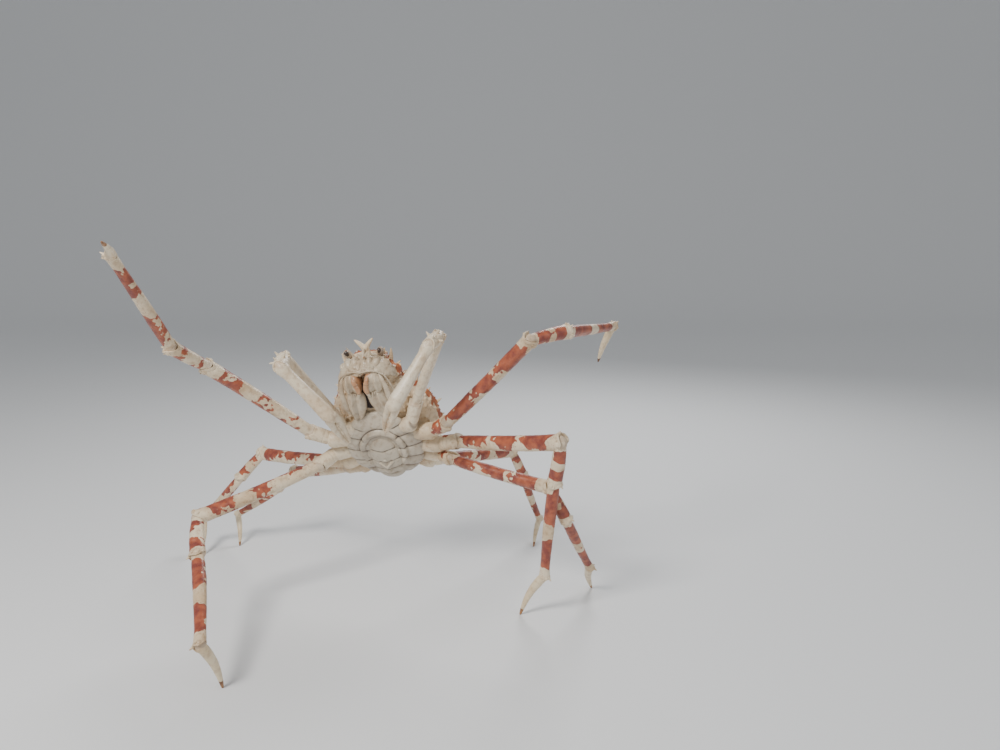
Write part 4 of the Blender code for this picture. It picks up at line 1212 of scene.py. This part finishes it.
# %% Mouth doors and frames
def mouth_side(way, name):
    """Door plate with its palp, the outer rod, and the frame of the mouth above it."""
    skins = [(door(LOWER_DOOR, way, 0.140, -0.16, 0.2), 90, 72),
             (door(UPPER_DOOR, way, 0.128, 0.0, 0.85), 56, 64)]
    outer_rod = ((0.200, 0.34, 0.055), (0.206, 0.41, 0.018), (0.204, 0.53, -0.004), (0.198, 0.64, 0.002),
                 (0.178, 0.72, 0.018), (0.155, 0.76, 0.04))
    thick = ((0, 0), (0.0030, 0.0060), (0.0034, 0.0068), (0.0034, 0.0060), (0.0030, 0.0044), (0, 0))
    skins.append((flat_rod(outer_rod, thick, way, lumps=0.06, paint=lambda t, outer: -0.7), 64, 24))
    palp = ((0.074, 0.762, 0.010), (0.060, 0.738, -0.016), (0.046, 0.700, -0.027), (0.036, 0.655, -0.031),
            (0.040, 0.610, -0.031), (0.054, 0.575, -0.027), (0.064, 0.556, -0.021))
    thick = ((0, 0), (0.0030, 0.0046), (0.0036, 0.0062), (0.0036, 0.0060), (0.0032, 0.0044),
             (0.0024, 0.0024), (0, 0))
    # The two joints of the palp get painted shade.
    skins.append((flat_rod(palp, thick, way, lumps=0.12, crease=((0.33, 0.018, 0.6), (0.62, 0.018, 0.6)),
                           paint=lambda t, outer: 0.10 + 0.1 * outer - 1.4 * max(t - 0.60, 0) / 0.3), 80, 28))
    for k in range(3):
        root = body_point(way * (0.078 + 0.018 * k), 0.612 + 0.004 * k, -0.014)
        tip = body_point(way * (0.072 + 0.018 * k), 0.588 + 0.004 * k, -0.026)
        skins.append((spike(root, tip, 0.0018, blunt=0.2), 10, 10))
    plate("mouth_door_" + name, skins, mouth_paint, ["maxilliped_" + name])
    # The creases of the frame rods get painted shade.
    frame_skins = [
        (rod(((0.112, 0.775, 0.115), (0.120, 0.80, 0.150), (0.128, 0.815, 0.190), (0.134, 0.82, 0.220)),
             (0.0060, 0.0088, 0.0078, 0), way, -0.35, crease=((0.55, 0.05, 0.4),), lumps=0.22), 40, 26),
        (rod(((0.062, 0.795, 0.120), (0.066, 0.815, 0.155), (0.070, 0.83, 0.190), (0.074, 0.835, 0.215)),
             (0.0050, 0.0076, 0.0066, 0), way, -0.40, crease=((0.5, 0.05, 0.4),), lumps=0.22), 40, 26),
        (rod(((0.022, 0.79, 0.13), (0.024, 0.82, 0.150), (0.030, 0.85, 0.158), (0.036, 0.87, 0.150),
              (0.036, 0.875, 0.14)),
             (0.0030, 0.0042, 0.0036, 0.0024, 0), way, -0.1, crease=((0.45, 0.04, 0.5),),
             lumps=0.15), 44, 20),
        (rod(((0.172, 0.71, 0.155), (0.182, 0.745, 0.18), (0.192, 0.765, 0.212), (0.198, 0.77, 0.240)),
             (0.0070, 0.0100, 0.0085, 0), way, -0.15, lumps=0.3), 40, 28)]
    plate("mouth_frame_" + name, frame_skins, mouth_paint)


print("mouth side ready")

# %% [markdown]
# ## Eyes and feelers
# The eyes sit on short thick stalks beside the horns. On this animal the eye is a long dark window in a pale
# rim, and a ball with a pupil would look like a cartoon. So it is a slim dark body sunk along the front of
# the stalk. The feelers are thin jointed rods below the eyes. One loop then builds both sides of the mouth
# and both eyes.

# %% Eyes and feelers
def eye_and_feeler(way, name):
    """Thick stalk with a dark glossy window along its front, and the feeler below it."""
    # The crease of the stalk gets painted shade.
    stalk = [(rod(((0.10, 0.70, 0.272), (0.117, 0.755, 0.270), (0.130, 0.79, 0.266), (0.143, 0.825, 0.260),
                   (0.153, 0.855, 0.255), (0.160, 0.876, 0.252), (0.163, 0.884, 0.25)),
                  (0.0044, 0.0064, 0.0060, 0.0070, 0.0077, 0.0056, 0), way, -0.12,
                  crease=((0.42, 0.04, 0.6),), lumps=0.08), 60, 32)]
    plate("eye_stalk_" + name, stalk, stalk_paint)
    aim = body_point(way * 0.145, 0.86, 0.235) - body_point(way * 0.150, 0.845, 0.256)
    look = 0.0046 * aim.normalized()
    window = ((0.1405, 0.818, 0.262), (0.144, 0.828, 0.260), (0.149, 0.843, 0.2575), (0.154, 0.858, 0.255),
              (0.158, 0.868, 0.253), (0.1605, 0.874, 0.252))
    eye = [(body_point(way * x, y, z) + look, r, r) for (x, y, z), r in
           zip(window, (0, 0.0037, 0.0051, 0.0053, 0.0040, 0))]
    plate("eye_ball_" + name, [(sweep(eye, LEFT, lumps=0.0), 40, 36)], eye_paint, ["eye_" + name])
    # The joints of the feeler get painted shade.
    feeler = [(rod(((0.067, 0.755, 0.205), (0.068, 0.79, 0.212), (0.070, 0.82, 0.21), (0.073, 0.845, 0.205)),
                   (0.0030, 0.0042, 0.0034, 0), way, crease=((0.5, 0.05, 0.3),)), 30, 18),
              (rod(((0.071, 0.835, 0.207), (0.080, 0.88, 0.196), (0.090, 0.925, 0.180), (0.098, 0.962, 0.166),
                    (0.100, 0.975, 0.161)), (0.0022, 0.0018, 0.0013, 0.0008, 0), way, -0.5,
                   crease=[(0.07 * k, 0.008, 0.25) for k in range(3, 14)]), 70, 12)]
    plate("feeler_" + name, feeler, claw_paint, ["antenna_" + name])


for way, name in ((1, "left"), (-1, "right")):
    mouth_side(way, name)
    eye_and_feeler(way, name)

# %% [markdown]
# ## The face and the lip
# Between the eyes and the mouth lies a lumpy face with sutures. A thin pale lip runs along its lower edge
# and down past the doors. Behind the doors a near-black knob is painted shadow in the mouth's opening. The
# face and the lip are two sweeps from side to side. Each is written for the right half and mirrored, so
# that they stay even.

# %% Face, lip and gape
snout = [(rod(((0, 0.76, 0.16), (0, 0.80, 0.19), (0, 0.84, 0.235), (0, 0.865, 0.27), (0, 0.85, 0.30)),
              (0.004, 0.0052, 0.0040, 0.0028, 0), 1, -0.3), 44, 22)]
plate("snout_ridge", snout, mouth_paint)
face = [(-0.245, 0.65, 0.170, 0.003, 0.006), (-0.218, 0.705, 0.155, 0.0060, 0.0165),
        (-0.165, 0.752, 0.152, 0.0085, 0.0240), (-0.095, 0.784, 0.152, 0.0095, 0.0285),
        (-0.035, 0.796, 0.152, 0.0110, 0.0300), (0, 0.790, 0.152, 0.0100, 0.0300)]
face += [(-x, y, z, h0, h1) for x, y, z, h0, h1 in face[-2::-1]]
face_stops = [(body_point(x, y, z), h0, h1) for x, y, z, h0, h1 in face]
# The sutures of the face get painted shade.
sutures = ((0.5, 0.007, 0.55), (0.40, 0.006, 0.45), (0.60, 0.006, 0.45), (0.28, 0.008, 0.45),
           (0.72, 0.008, 0.45))
lip = [(-0.246, 0.50, 0.060, 0), (-0.240, 0.58, 0.044, 0.0017), (-0.226, 0.66, 0.042, 0.0019),
       (-0.195, 0.738, 0.042, 0.0020), (-0.14, 0.780, 0.041, 0.0021), (-0.075, 0.792, 0.041, 0.0021),
       (0, 0.780, 0.042, 0.0019)]
lip += [(-x, y, z, r) for x, y, z, r in lip[-2::-1]]
lip_stops = [(body_point(x, y, z), r, r) for x, y, z, r in lip]
front = [(sweep(face_stops, BACK + 0.3 * AHEAD, lumps=0.30, paint=lambda t, outer: -0.42,
                crease=sutures), 190, 90),
         (sweep(lip_stops, BACK, lumps=0.35, paint=lambda t, outer: -0.9), 140, 18)]
plate("mouth_front", front, mouth_paint)
# Painted shadow: a near-black knob fills the opening between the doors.
gape = [(knob(body_point(0, 0.54, 0.046), BACK, 0.036, 0.22), 34, 44)]
plate("mouth_gape_shadow", gape, gape_shadow_paint)
